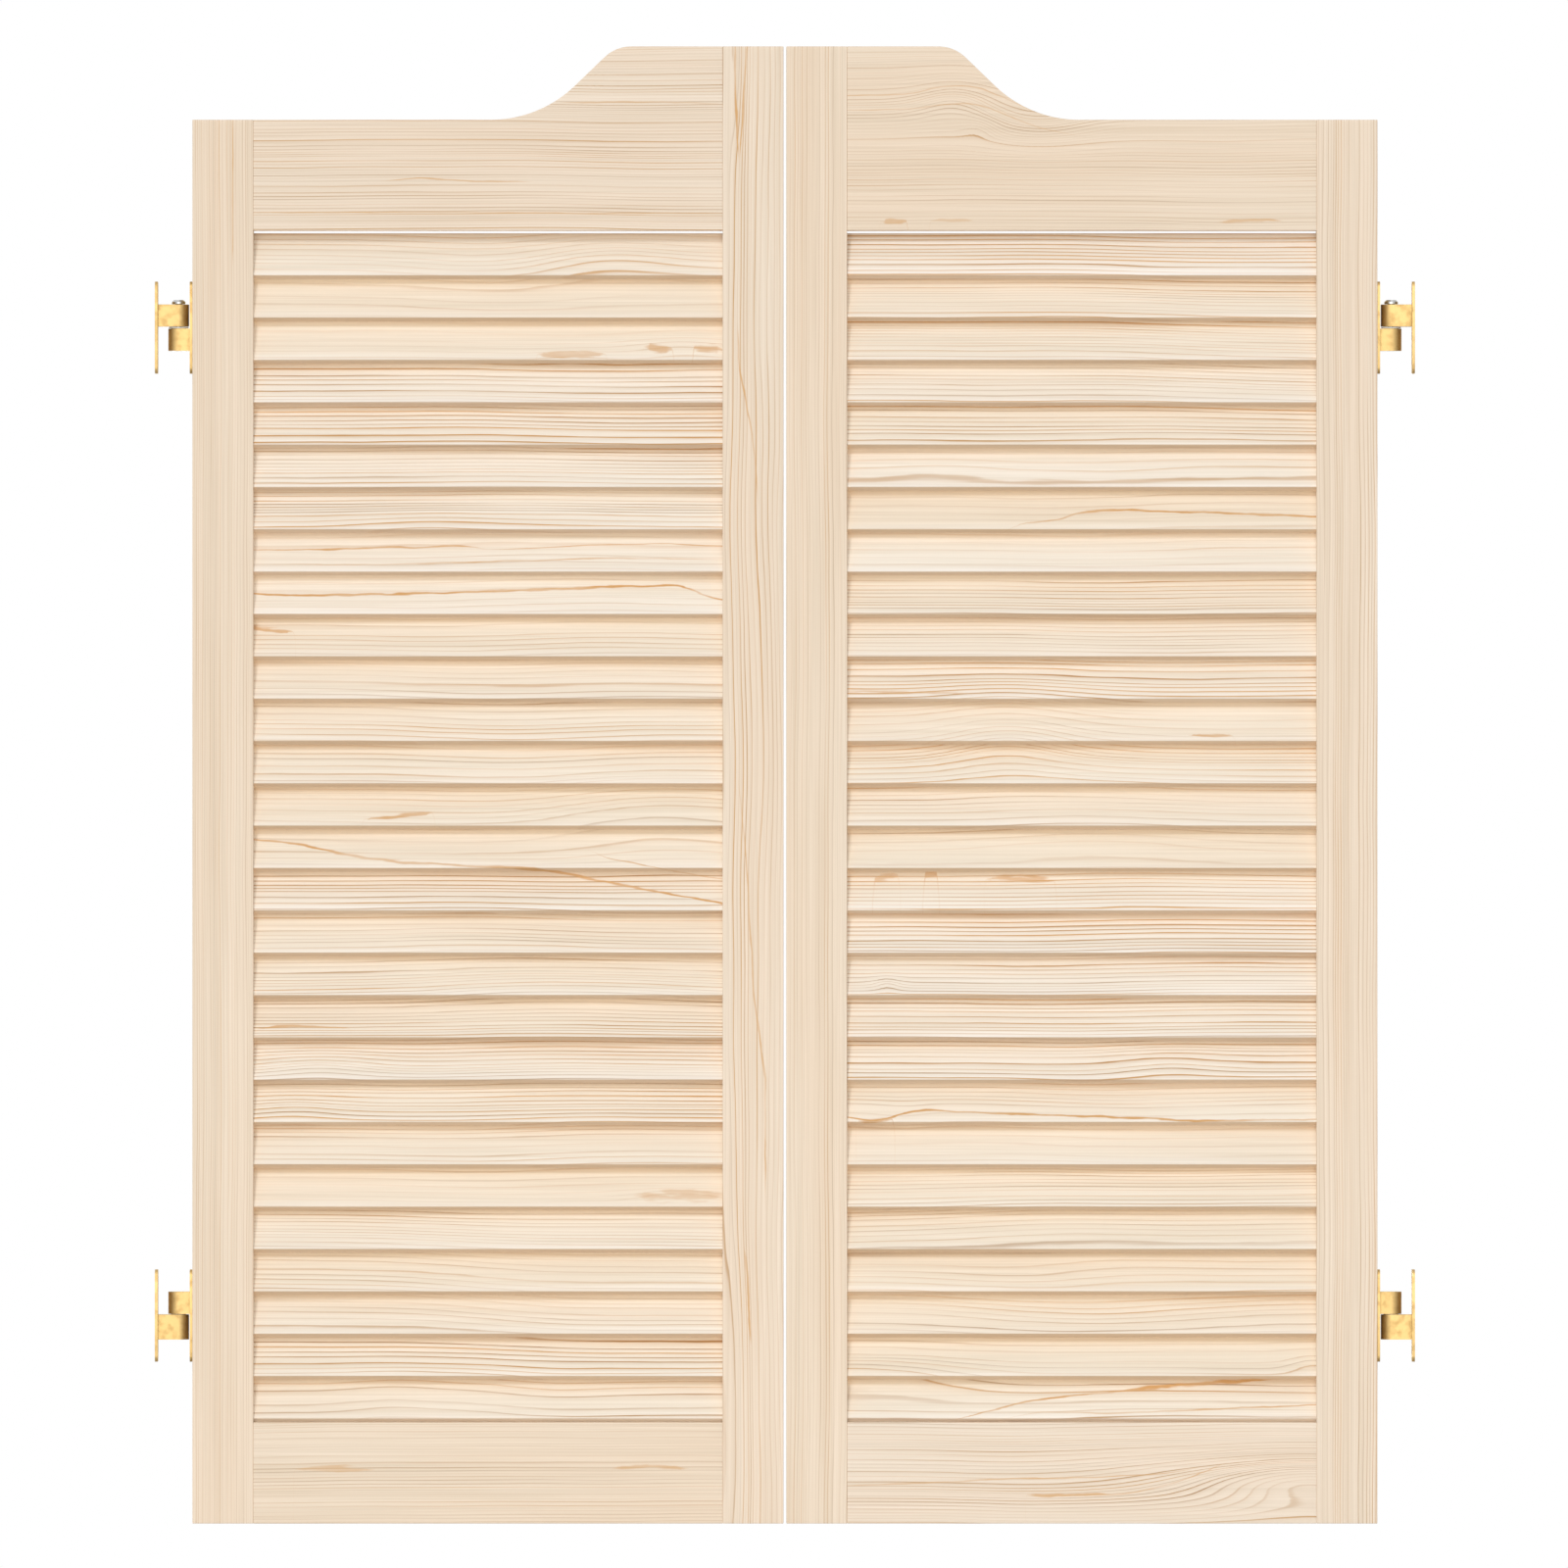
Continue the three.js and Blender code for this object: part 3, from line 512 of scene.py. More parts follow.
def floor_material():
    """A pale floor that fades out towards its rim, so that no edge shows against the background.

    It throws back less light than it shows, so that it doesn't fill the shade under the slats.
    """
    material, tree, shader = new_material("pale_floor")
    place = add_node(tree, "ShaderNodeTexCoord").outputs["Object"]
    speckle = stretched_noise(tree, place, FLOOR_TURNS, detail=3)
    seen = mix_colours(tree, speckle, FLOOR_PALE, FLOOR_SPECKLE)
    bounced = add_node(tree, "ShaderNodeLightPath").outputs["Is Diffuse Ray"]
    colour = mix_colours(tree, bounced, seen, FLOOR_BOUNCE)
    tree.links.new(colour, shader.inputs["Base Color"])
    flat = add_node(tree, "ShaderNodeVectorMath", {0: place, 1: (1, 1, 0)}, operation="MULTIPLY")
    away = add_node(tree, "ShaderNodeVectorMath", {0: flat.outputs[0]}, operation="LENGTH")
    fade = remap(tree, away.outputs["Value"], (FLOOR_SOLID, FLOOR_HALF), (1.0, 0.0), smooth=True)
    tree.links.new(fade, shader.inputs["Alpha"])
    shader.inputs["Roughness"].default_value = FLOOR_ROUGHNESS
    return material


# Boards

def eased_loop(thickness_faces, width_faces):
    """Once round a rectangle with rounded corners, anticlockwise.

    Gives each point's place on the core rectangle, from -1 to 1 on its two axes, and the direction
    in which the rounding pushes it out; a side's points are even, with one close to either corner.
    """
    places = []
    pushes = []
    corners = np.array([[1, 1], [-1, 1], [-1, -1], [1, -1]], float)
    for quarter, corner in enumerate(corners):
        angles = (quarter + np.linspace(0, 1, CORNER_STEPS + 1)) * TURN / 4
        pushes.append(np.stack([np.cos(angles), np.sin(angles)], 1))
        places.append(np.repeat(corner[None], len(angles), 0))
        steps = thickness_faces if quarter % 2 == 0 else width_faces
        inner = np.linspace(CORNER_SUPPORT, -CORNER_SUPPORT, steps + 1)
        share = (1 - inner[:, None]) / 2
        following = corners[(quarter + 1) % 4]
        places.append(corner * (1 - share) + following * share)
        pushes.append(np.repeat(pushes[-1][-1:], len(inner), 0))
    return np.concatenate(places), np.concatenate(pushes)


def board_stations(start, stop, step, ease):
    """Places along a board and, at each, the rounding's radius: full on the body, less on the ends."""
    body = np.linspace(start + ease, stop - ease, max(2, round((stop - start) / step)))
    rounding = ease * np.cos(END_ANGLES)
    reach = ease * np.sin(END_ANGLES)
    along = np.concatenate([(start + ease - reach)[::-1], body, stop - ease + reach])
    radius = np.concatenate([rounding[::-1], np.full(len(body), ease), rounding])
    return along, radius


def board_surface(along, radius, low, high, half_thickness, ease, loop):
    """A board's skin: a rounded rectangle carried along its length, then shrunk to a point at each end.

    low and high are the board's two long edges at each station. A point is its place on the core
    rectangle plus the rounding's radius times its outward direction. Returns rings of points
    (along, thickness, width), ring by ring, followed by the two end points.
    """
    place, push = loop
    middle = (low + high) / 2
    core = (high - low) / 2 - ease
    thick = place[:, 0] * (half_thickness - ease) + radius[:, None] * push[:, 0]
    wide = middle[:, None] + place[:, 1] * core[:, None] + radius[:, None] * push[:, 1]
    rings = np.stack([np.broadcast_to(along[:, None], wide.shape), thick, wide], -1)
    centres = np.stack([along, np.zeros_like(along), middle], -1)
    first = centres[0] + CAP_SCALES[::-1, None, None] * (rings[0] - centres[0])
    last = centres[-1] + CAP_SCALES[:, None, None] * (rings[-1] - centres[-1])
    rings = np.concatenate([first, rings, last])
    return rings, np.stack([centres[0], centres[-1]])


def tube_faces(rings, around):
    """Four-sided faces between neighbouring rings, and fans from the end rings to the end points."""
    step = np.arange(around)
    following = (step + 1) % around
    ring = np.arange(rings - 1)[:, None] * around
    corners = [ring + step, ring + following, ring + around + following, ring + around + step]
    quads = np.stack(corners, -1).reshape(-1, 4)
    first_point = rings * around
    last_ring = (rings - 1) * around
    first_fan = np.stack([np.full(around, first_point), following, step], -1)
    last_fan = np.stack([np.full(around, first_point + 1), last_ring + step, last_ring + following], -1)
    return quads, np.concatenate([first_fan, last_fan])


def mesh_from_faces(name, points, quads, triangles):
    """A smooth mesh from whole arrays of points and faces."""
    mesh = bpy.data.meshes.new(name)
    corners = np.concatenate([quads.ravel(), triangles.ravel()])
    sizes = np.concatenate([np.full(len(quads), 4), np.full(len(triangles), 3)])
    starts = np.concatenate([[0], np.cumsum(sizes)[:-1]])
    mesh.vertices.add(len(points))
    mesh.vertices.foreach_set("co", points.astype(np.float32).ravel())
    mesh.loops.add(len(corners))
    mesh.loops.foreach_set("vertex_index", corners.astype(np.int32))
    mesh.polygons.add(len(sizes))
    mesh.polygons.foreach_set("loop_start", starts.astype(np.int32))
    mesh.polygons.foreach_set("use_smooth", np.ones(len(sizes), bool))
    mesh.update(calc_edges=True)
    mesh.validate()
    return mesh


def show_piece(name, mesh, material, body, slot, *nodes):
    """Puts a piece into the scene on its body, in place of the frame's own nodes."""
    piece = bpy.data.objects.new(name, mesh)
    bpy.context.scene.collection.objects.link(piece)
    mesh.materials.clear()
    mesh.materials.append(material)
    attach(piece, body)
    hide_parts(*nodes)
    return piece


def store(mesh, name, values):
    """A float or vector of each point, for the material to read."""
    kind = "FLOAT" if values.ndim == 1 else "FLOAT_VECTOR"
    field = "value" if values.ndim == 1 else "vector"
    layer = mesh.attributes.new(name, kind, "POINT")
    layer.data.foreach_set(field, values.astype(np.float32).ravel())


# Grain

# Waves of the lines: their lengths in metres, and the slant that shifts them from line to line
FRAME_WAVES = (0.47, 0.26, 0.13)
FRAME_SLANT = 0.4
SLAT_WAVES = (0.52, 0.31, 0.17)
SLAT_SLANT = 0.35
# How far the rings lean through a board, and swings of their widths: height and pace of each
FRAME_LEAN = 0.3
SLAT_LEAN = 0.25
FRAME_SWINGS = ((0.8, 0.37), (0.35, 0.91))
SLAT_SWINGS = ((0.4, 0.6), (0.2, 1.4), (0.1, 2.7))
# Boards and leaves start their ring counts and fibres at places of their own
FRAME_RING_START = 40
SLAT_RING_START = 500
GRAIN_SPREAD = 3
WAVE_SEED = 2
SLAT_SEEDS = 100
# Boards with stronger lines are paler between them
LINE_TONE = 0.08
MIDDLING_LINES = 0.55
# Heights at which the slats' rings are counted, and how far past the slats they reach
LEVEL_STEPS = 4000
LEVEL_MARGIN = 100 * MM


def waves(along, across, amount, lengths, slant, random):
    """A sum of sine waves along the grain that shift a little from line to line."""
    phases = random.uniform(0, TURN, len(lengths))
    total = np.zeros_like(along)
    for length, phase in zip(lengths, phases):
        total += np.sin(TURN * (along / length + across / slant) + phase) * length / max(lengths)
    return amount * total


def swellings(along, across, hills):
    """Lift of the lines, and added strength, round listed swellings: a bell curve about each.

    A swelling is its middle along and across, its length and width, how far it lifts the lines, all in
    mm, and how much stronger the lines are there.
    """
    lifts = np.zeros_like(along)
    boosts = np.zeros_like(along)
    for hill_along, hill_across, length, width, lift, boost in hills:
        far_along = (along / MM - hill_along) / length
        far_across = (across / MM - hill_across) / width
        bell = np.exp(-far_along ** 2 - far_across ** 2)
        lifts += lift * MM * bell
        boosts += boost * bell
    return lifts, boosts


def streak_places(along, across, streaks):
    """Signed distances from resin streaks, in parts of their half widths, and weights.

    A streak is its width in mm, its depth of colour and the points in mm that its line joins. The line
    is averaged over a short run, so that it has no corners; it is thinner towards its ends, and its
    colour fades there. Streaks that don't pass each other along the board share one of the columns.
    """
    places = np.full((len(along), STREAK_COLUMNS), FAR_FROM_STREAK)
    weights = np.zeros((len(along), STREAK_COLUMNS))
    steps = np.linspace(-STREAK_SMOOTHING, STREAK_SMOOTHING, STREAK_SAMPLES)
    for width, depth, points in streaks:
        run = np.array(points, float) * MM
        share = (along - run[0, 0]) / (run[-1, 0] - run[0, 0])
        inside = (share > 0) & (share < 1)
        free = np.flatnonzero(~weights[inside].any(0))
        if len(free) == 0:
            continue
        share = share[inside]
        line = np.interp(along[inside][:, None] + steps, run[:, 0], run[:, 1]).mean(1)
        taper = np.clip(1 - (2 * share - 1) ** 4, STREAK_TIP, 1)
        distance = (across[inside] - line) / (width * MM / 2 * taper)
        places[inside, free[0]] = np.clip(distance, -FAR_FROM_STREAK, FAR_FROM_STREAK)
        weights[inside, free[0]] = depth * np.clip(np.minimum(share, 1 - share) * STREAK_FADE, 0, 1)
    return places, weights


def near_streaks(streaks, low, high):
    """The streaks that pass between two heights."""
    found = []
    for streak in streaks:
        heights = [point[1] * MM for point in streak[2]]
        if min(heights) < high and max(heights) > low:
            found.append(streak)
    return found


def dress_board(mesh, along, across, depth, shade, ring, strength, tone, warmth, streaks, random):
    """Stores a board's grain: ring count, place along the fibres, figure, warmth and streaks.

    The figure is the lines' strength, the tone, which on slats holds painted light, and the weight of the
    painted shade on slats' edges and strips.
    """
    place = np.stack([along, across, depth], 1) + random.uniform(0, GRAIN_SPREAD, 3)
    figure_and_painted_light = np.stack([strength, tone, shade], 1)
    store(mesh, "ring", ring)
    store(mesh, "place", place)
    store(mesh, "figure_and_painted_light", figure_and_painted_light)
    store(mesh, "warmth", np.full_like(along, warmth))
    places, weights = streak_places(along, across, streaks)
    store(mesh, "streak", places)
    store(mesh, "streak_weight", weights)


def finished_board(name, surface, axes, material, body, slot, nodes, grain):
    """A board's mesh and grain; axes say which way its length, thickness and width point.

    surface is what board_surface gives. grain takes the points' places along, across and through the
    board, and returns the ring count, line strength, tone, added warmth and streaks.
    """
    rings, ends = surface
    count, around = rings.shape[:2]
    local = np.concatenate([rings.reshape(-1, 3), ends])
    points = local @ np.array(axes, float)
    mesh = mesh_from_faces(name, points, *tube_faces(count, around))
    along, depth, across = local.T
    dress_board(mesh, along, across, depth, np.zeros_like(along), *grain(along, across, depth))
    show_piece(name, mesh, material, body, slot, *nodes)


def ring_swings(ring, swings, seed):
    """How far a ring count runs ahead or behind: sine waves of the count itself, so that widths swing."""
    total = np.zeros_like(ring)
    phase = seed
    for height, pace in swings:
        total += height * np.sin(ring * pace + phase)
        phase = 0
    return total


def straight_grain(seed, spacing, strength, wander, hills=(), streaks=()):
    """Lines along a board: their count is the warped place across it over the spacing in mm.

    The place is warped by waves that wander so many mm, and by swellings.
    """
    random = np.random.default_rng(seed)

    def grain(along, across, depth):
        """The grain at points on the board."""
        lifts, boosts = swellings(along, across, hills)
        shift = waves(along, across, wander * MM, FRAME_WAVES, FRAME_SLANT, random)
        ring = (across + shift - lifts + FRAME_LEAN * depth) / (spacing * MM)
        count = ring + ring_swings(ring, FRAME_SWINGS, seed) + FRAME_RING_START * seed
        tone = np.full_like(along, 1 + LINE_TONE * (strength - MIDDLING_LINES))
        return count, strength + boosts, tone, 0, streaks, random

    return grain


# Frame of a leaf

def ogee_height(along, hinge_edge, meeting_edge, low, high):
    """Height of the top rail's upper edge: low, a hollow arc, a slope, a rounded crest, high.

    Distances run from the hinge edge to the meeting edge, whichever way that is.
    """
    run = np.abs(along - hinge_edge)
    crest_end = abs(meeting_edge - hinge_edge) - CREST_WIDTH
    rise = (HOLLOW_RADIUS + CREST_RADIUS) * (1 - math.cos(OGEE_SLOPE))
    slope_run = (high - low - rise) / math.tan(OGEE_SLOPE)
    hollow_start = crest_end - (HOLLOW_RADIUS + CREST_RADIUS) * math.sin(OGEE_SLOPE) - slope_run
    hollow_stop = hollow_start + HOLLOW_RADIUS * math.sin(OGEE_SLOPE)
    crest_start = crest_end - CREST_RADIUS * math.sin(OGEE_SLOPE)
    in_hollow = np.clip(run - hollow_start, 0, HOLLOW_RADIUS * math.sin(OGEE_SLOPE))
    in_crest = np.clip(crest_end - run, 0, CREST_RADIUS * math.sin(OGEE_SLOPE))
    hollow = low + HOLLOW_RADIUS - np.sqrt(HOLLOW_RADIUS ** 2 - in_hollow ** 2)
    crest = high - CREST_RADIUS + np.sqrt(CREST_RADIUS ** 2 - in_crest ** 2)
    slope = low + HOLLOW_RADIUS * (1 - math.cos(OGEE_SLOPE)) + (run - hollow_stop) * math.tan(OGEE_SLOPE)
    return np.where(run <= hollow_stop, hollow, np.where(run < crest_start, slope, crest))


def stile(node, body, material, grain):
    """An upright post with eased arrises."""
    low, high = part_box(node)
    along, radius = board_stations(low.z, high.z, FRAME_STEP, FRAME_EASE)
    left = np.full(len(along), low.x)
    right = np.full(len(along), high.x)
    surface = board_surface(along, radius, left, right, high.y, FRAME_EASE, eased_loop(*STILE_FACES))
    finished_board(node + "_board", surface, UPRIGHT, material, body, "pine", [node], grain)


def bottom_rail(node, body, material, grain):
    """A plain rail between the stiles."""
    low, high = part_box(node)
    along, radius = board_stations(low.x - GLUE_LINE, high.x + GLUE_LINE, FRAME_STEP, FRAME_EASE)
    bottom = np.full(len(along), low.z)
    top = np.full(len(along), high.z)
    surface = board_surface(along, radius, bottom, top, high.y, FRAME_EASE, eased_loop(*BOTTOM_RAIL_FACES))
    finished_board(node + "_board", surface, LEVEL, material, body, "pine", [node], grain)


def top_rail(hand, body, material, grain):
    """The rail with the ogee step, whose upper edge follows the step's curve."""
    node = hand + "_top_rail"
    low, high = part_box(node)
    hinge_low, hinge_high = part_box(hand + "_hinge_stile")
    meeting_low, meeting_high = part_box(hand + "_meeting_stile")
    hinge_edge = hinge_low.x if hand == "left" else hinge_high.x
    meeting_edge = meeting_high.x if hand == "left" else meeting_low.x
    along, radius = board_stations(low.x - GLUE_LINE, high.x + GLUE_LINE, FRAME_STEP, FRAME_EASE)
    bottom = np.full(len(along), low.z)
    top = ogee_height(along, hinge_edge, meeting_edge, hinge_high.z, meeting_high.z)
    surface = board_surface(along, radius, bottom, top, high.y, FRAME_EASE, eased_loop(*TOP_RAIL_FACES))
    finished_board(node + "_board", surface, LEVEL, material, body, "pine", [node], grain)


# Louvres

def slat_rise():
    """Height of a tilted slat with rounded edges."""
    tall = (SLAT_WIDTH / 2 - SLAT_EASE) * math.cos(SLAT_TILT)
    deep = (SLAT_THICKNESS / 2 - SLAT_EASE) * math.sin(SLAT_TILT)
    return 2 * (tall + deep + SLAT_EASE)


def slat_heights(hand):
    """Heights of the slats' middles, from the top one down, evenly spread in the opening."""
    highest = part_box(hand + "_top_rail")[0].z - LIGHT_GAP - slat_rise() / 2
    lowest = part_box(hand + "_bottom_rail")[1].z + SLAT_FIT + slat_rise() / 2
    return np.linspace(highest, lowest, SLAT_COUNT)


# Kinds of slat grain: spacing of the lines in mm, their strength and how far they wander in mm
SLAT_GRAINS = {
    "pale": (7.6, 0.27, 1.4),
    "faint": (7.6, 0.4, 1.4),
    "plain": (6.4, 0.3, 1.2),
    "wide": (6.4, 0.78, 1.2),
    "mild": (4.6, 0.44, 1.6),
    "soft": (4.6, 0.57, 1.6),
    "firm": (4.6, 0.78, 1.6),
    "fine": (3.0, 0.85, 0.9),
    "crisp": (3.0, 1.12, 0.9),
    "close": (2.8, 1.3, 0.6),
    "even": (3.4, 1.05, 0.7),
    "dense": (3.4, 1.42, 0.7),
    "strong": (3.9, 1.8, 0.9),
    "bold": (3.9, 2.3, 0.9),
}
SLAT_KINDS = {
    "left": ("soft pale pale dense strong dense close plain pale mild soft firm soft soft faint dense "
             "soft fine close crisp close mild pale fine soft mild even wide").split(),
    "right": ("strong fine fine fine dense wide pale pale close fine strong mild fine soft faint dense "
              "bold fine dense dense soft pale fine soft soft mild faint wide").split(),
}
# Slats of whiter and of yellower wood, counted from the top
WHITER = {"left": (4, 5, 6, 7, 8, 9, 16, 20), "right": (1, 4, 6, 8, 11, 16, 17, 18, 19, 20)}
YELLOWER = {"left": (1, 2, 14, 23, 25), "right": (7, 15, 23, 24, 25, 26, 27)}
WHITE_TONE = 1.035
YELLOW_TONE = 0.975
TONE_CHANCE = 0.007
# Slats with warmer lines, and how far the lines lean to the warm colour
WARM_LINED = {"left": (1, 3), "right": (1, 3, 6, 11, 13, 16)}
LINE_WARMTH = 0.45


def slat_tones(hand, random):
    """Tone of each slat: a little chance, painted light that makes the top slat lighter against the top
    rail's shade, and the whiter and yellower boards.
    """
    tones = random.uniform(1 - TONE_CHANCE, 1 + TONE_CHANCE, SLAT_COUNT)
    # Painted light: the top slat is made lighter against the top rail's shade
    tones[0] *= TOP_SLAT_PAINTED_LIGHT
    tones[np.array(WHITER[hand]) - 1] *= WHITE_TONE
    tones[np.array(YELLOWER[hand]) - 1] *= YELLOW_TONE
    return tones


def louvre_grain(seed, kinds, heights, tones, warm_slats, hills, streaks):
    """Grain that runs on from slat to slat, as in slats sawn one after another from a plank.

    The lines follow the warped height, height plus waves less swellings, and their count grows with
    it by one for each spacing, where every slat has its own spacing and strength. Returns a function
    that takes a slat's place from the top and its points, and gives their grain.
    """
    spacing, strength, wander = np.array([SLAT_GRAINS[kind] for kind in kinds]).T
    levels = heights[::-1]
    fine_levels = np.linspace(levels[0] - LEVEL_MARGIN, levels[-1] + LEVEL_MARGIN, LEVEL_STEPS)
    density = 1 / (np.interp(fine_levels, levels, spacing[::-1]) * MM)
    rings = np.concatenate([[0], np.cumsum((density[1:] + density[:-1]) / 2 * np.diff(fine_levels))])

    def grain(index, along, height, depth):
        """The grain at points on one slat."""
        shared = np.random.default_rng(seed + WAVE_SEED)
        own = np.random.default_rng(seed * SLAT_SEEDS + index)
        wander_here = np.interp(height, levels, wander[::-1]) * MM
        shift = waves(along, height, 1.0, SLAT_WAVES, SLAT_SLANT, shared) * wander_here
        lifts, boosts = swellings(along, height, hills)
        ring = np.interp(height + shift - lifts + SLAT_LEAN * depth, fine_levels, rings)
        count = ring + ring_swings(ring, SLAT_SWINGS, seed) + SLAT_RING_START * seed
        tone = np.full_like(along, tones[index])
        warmth = LINE_WARMTH if index + 1 in warm_slats else 0
        nearby = near_streaks(streaks, height.min(), height.max())
        return count, strength[index] + boosts, tone, warmth, nearby, own

    return grain


def slat_painted_highlight(local):
    """Tone of a slat's front, with a painted highlight: a little whiter near its lower edge."""
    from_bottom = SLAT_WIDTH / 2 + local[:, 2]
    return 1 + SLAT_HIGHLIGHT_TONE * np.clip(SLAT_HIGHLIGHT_RISE * (1 - from_bottom / SLAT_HIGHLIGHT_BAND), 0, 1)


def slat_edges(local):
    """One on a slat's two narrow edges and nought on its faces."""
    from_edge = SLAT_WIDTH / 2 - np.abs(local[:, 2])
    return np.clip(1 - from_edge / EDGE_FADE, 0, 1)


def slat_shade(local, shade_strip_width, edge_shade_weight):
    """Weight of the painted shade: above nought on the lower narrow edge, below it on the front's top strip
    under the slat above.
    """
    from_top = SLAT_WIDTH / 2 - local[:, 2]
    edge = np.where(local[:, 2] < 0, edge_shade_weight * slat_edges(local), 0)
    strip = SLAT_SHADE_WEIGHT * np.clip((shade_strip_width - from_top) / SLAT_SHADE_FADE, 0, 1)
    return np.where(local[:, 1] < 0, edge - strip, edge)


def slats(hand, body, material, grain):
    """The louvre slats: flat strips with rounded edges, tilted, let into the stiles at both ends."""
    opening_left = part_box(hand + "_bottom_rail")[0].x - SLAT_FIT
    opening_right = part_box(hand + "_bottom_rail")[1].x + SLAT_FIT
    along, radius = board_stations(opening_left - SLAT_HOUSING, opening_right + SLAT_HOUSING, SLAT_STEP,
                                   SLAT_EASE)
    low = np.full(len(along), -SLAT_WIDTH / 2)
    loop = eased_loop(*SLAT_FACES)
    rings, ends = board_surface(along, radius, low, -low, SLAT_THICKNESS / 2, SLAT_EASE, loop)
    count, around = rings.shape[:2]
    local = np.concatenate([rings.reshape(-1, 3), ends])
    depth = local[:, 1] * math.cos(SLAT_TILT) + local[:, 2] * math.sin(SLAT_TILT)
    rise = local[:, 2] * math.cos(SLAT_TILT) - local[:, 1] * math.sin(SLAT_TILT)
    faces = tube_faces(count, around)
    # Painted highlight along the lip above each slat's lower edge
    painted_highlight = slat_painted_highlight(local)
    plainness = 1 - EDGE_PLAINNESS * slat_edges(local)
    for index, height in enumerate(slat_heights(hand)):
        name = f"{hand}_slat_{index + 1:02d}"
        points = np.stack([local[:, 0], depth, rise + height], 1)
        mesh = mesh_from_faces(name, points, *faces)
        ring, strength, tone, warmth, nearby, random = grain(index, points[:, 0], points[:, 2], depth)
        # Painted shade: a narrower strip on the top slat, and the bottom slat's own weight of edge shade
        shade_strip_width = TOP_SLAT_SHADE if index == 0 else SLAT_SHADE
        edge_shade_weight = BOTTOM_SLAT_EDGE_SHADE if index == SLAT_COUNT - 1 else 1
        shade = slat_shade(local, shade_strip_width, edge_shade_weight)
        dress_board(mesh, points[:, 0], points[:, 2], depth, shade, ring, strength * plainness,
                    tone * painted_highlight, warmth, nearby, random)
        pack = f"{hand}_louvre_pack_{index // SLATS_PER_PACK + 1}"
        show_piece(name, mesh, material, body, "slat_pine", pack)


# Hinges

def eased_copy(node, ending, material, body, slot):
    """A hinge piece with its triangles joined into faces and its sharp edges rounded."""
    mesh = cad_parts[node].data.copy()
    work = bmesh.new()
    work.from_mesh(mesh)
    bmesh.ops.remove_doubles(work, verts=work.verts, dist=MERGE_DISTANCE)
    bmesh.ops.dissolve_limit(work, angle_limit=FLAT_ANGLE, verts=work.verts, edges=work.edges)
    for face in work.faces:
        face.smooth = True
    work.to_mesh(mesh)
    work.free()
    triangle_normals = mesh.attributes.get("custom_normal")
    if triangle_normals:
        mesh.attributes.remove(triangle_normals)
    piece = show_piece(f"{node}_{ending}", mesh, material, body, slot, node)
    rounding = piece.modifiers.new("eased_edges", "BEVEL")
    rounding.width = METAL_EASE
    rounding.segments = METAL_EASE_STEPS
    rounding.limit_method = "ANGLE"
    rounding.angle_limit = SHARP_ANGLE
    rounding.harden_normals = True


def hinges(hand, leaf_body, materials):
    """The two pivot hinges of a leaf: jamb half, door half, pins, nylon pieces and screws."""
    for level in ("lower", "upper"):
        start = f"{hand}_{level}_"
        eased_copy(start + "jamb_bracket", "casting", materials["brass"], "jamb_hardware", "brass")
        eased_copy(start + "door_bracket", "casting", materials["brass"], leaf_body, "brass")
        eased_copy(start + "pin", "turning", materials["steel"], "jamb_hardware", "steel")
        for number in (1, 2):
            eased_copy(f"{start}screw_{number}", "turning", materials["brass"], leaf_body, "brass")
    eased_copy(hand + "_lower_cam", "moulding", materials["nylon"], "jamb_hardware", "nylon")
    eased_copy(hand + "_lower_follower", "moulding", materials["nylon"], leaf_body, "nylon")
    eased_copy(hand + "_upper_bush", "moulding", materials["nylon"], leaf_body, "nylon")


def dowels(hand, material):
    """The hidden dowels keep their own shape and take the beech finish."""
    for node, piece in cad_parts.items():
        if node.startswith(hand) and "_dowel_" in node:
            piece.data.materials.clear()
            piece.data.materials.append(material)


# Stage

def floor(material):
    """A flat square floor below the hanging doors."""
    corners = FLOOR_HALF * np.array([[-1, -1, 0], [1, -1, 0], [1, 1, 0], [-1, 1, 0]], float)
    corners[:, 2] = FLOOR_LEVEL
    mesh = mesh_from_faces("floor", corners, np.array([[0, 1, 2, 3]]), np.zeros((0, 3), int))
    mesh.materials.append(material)
    piece = bpy.data.objects.new("floor", mesh)
    bpy.context.scene.collection.objects.link(piece)


def lamp(name, direction, level, angle):
    """A soft distant lamp that lights a facing white surface to the given level."""
    light = bpy.data.lights.new(name, "SUN")
    light.energy = level * math.pi
    light.angle = angle
    holder = bpy.data.objects.new(name, light)
    holder.rotation_euler = Vector(direction).to_track_quat("-Z", "Y").to_euler()
    bpy.context.scene.collection.objects.link(holder)


def surroundings():
    """White to the camera and in reflections, and an even soft light on the object."""
    world = bpy.data.worlds.new("studio")
    bpy.context.scene.world = world
    world.use_nodes = True
    tree = world.node_tree
    background = tree.nodes["Background"]
    path = add_node(tree, "ShaderNodeLightPath")
    seen = calculate(tree, "MAXIMUM", path.outputs["Is Camera Ray"], path.outputs["Is Glossy Ray"])
    seen = calculate(tree, "MAXIMUM", seen, path.outputs["Is Transmission Ray"])
    tree.links.new(remap(tree, seen, (0.0, 1.0), (AMBIENT, 1.0)), background.inputs["Strength"])
    background.inputs["Color"].default_value = (1, 1, 1, 1)


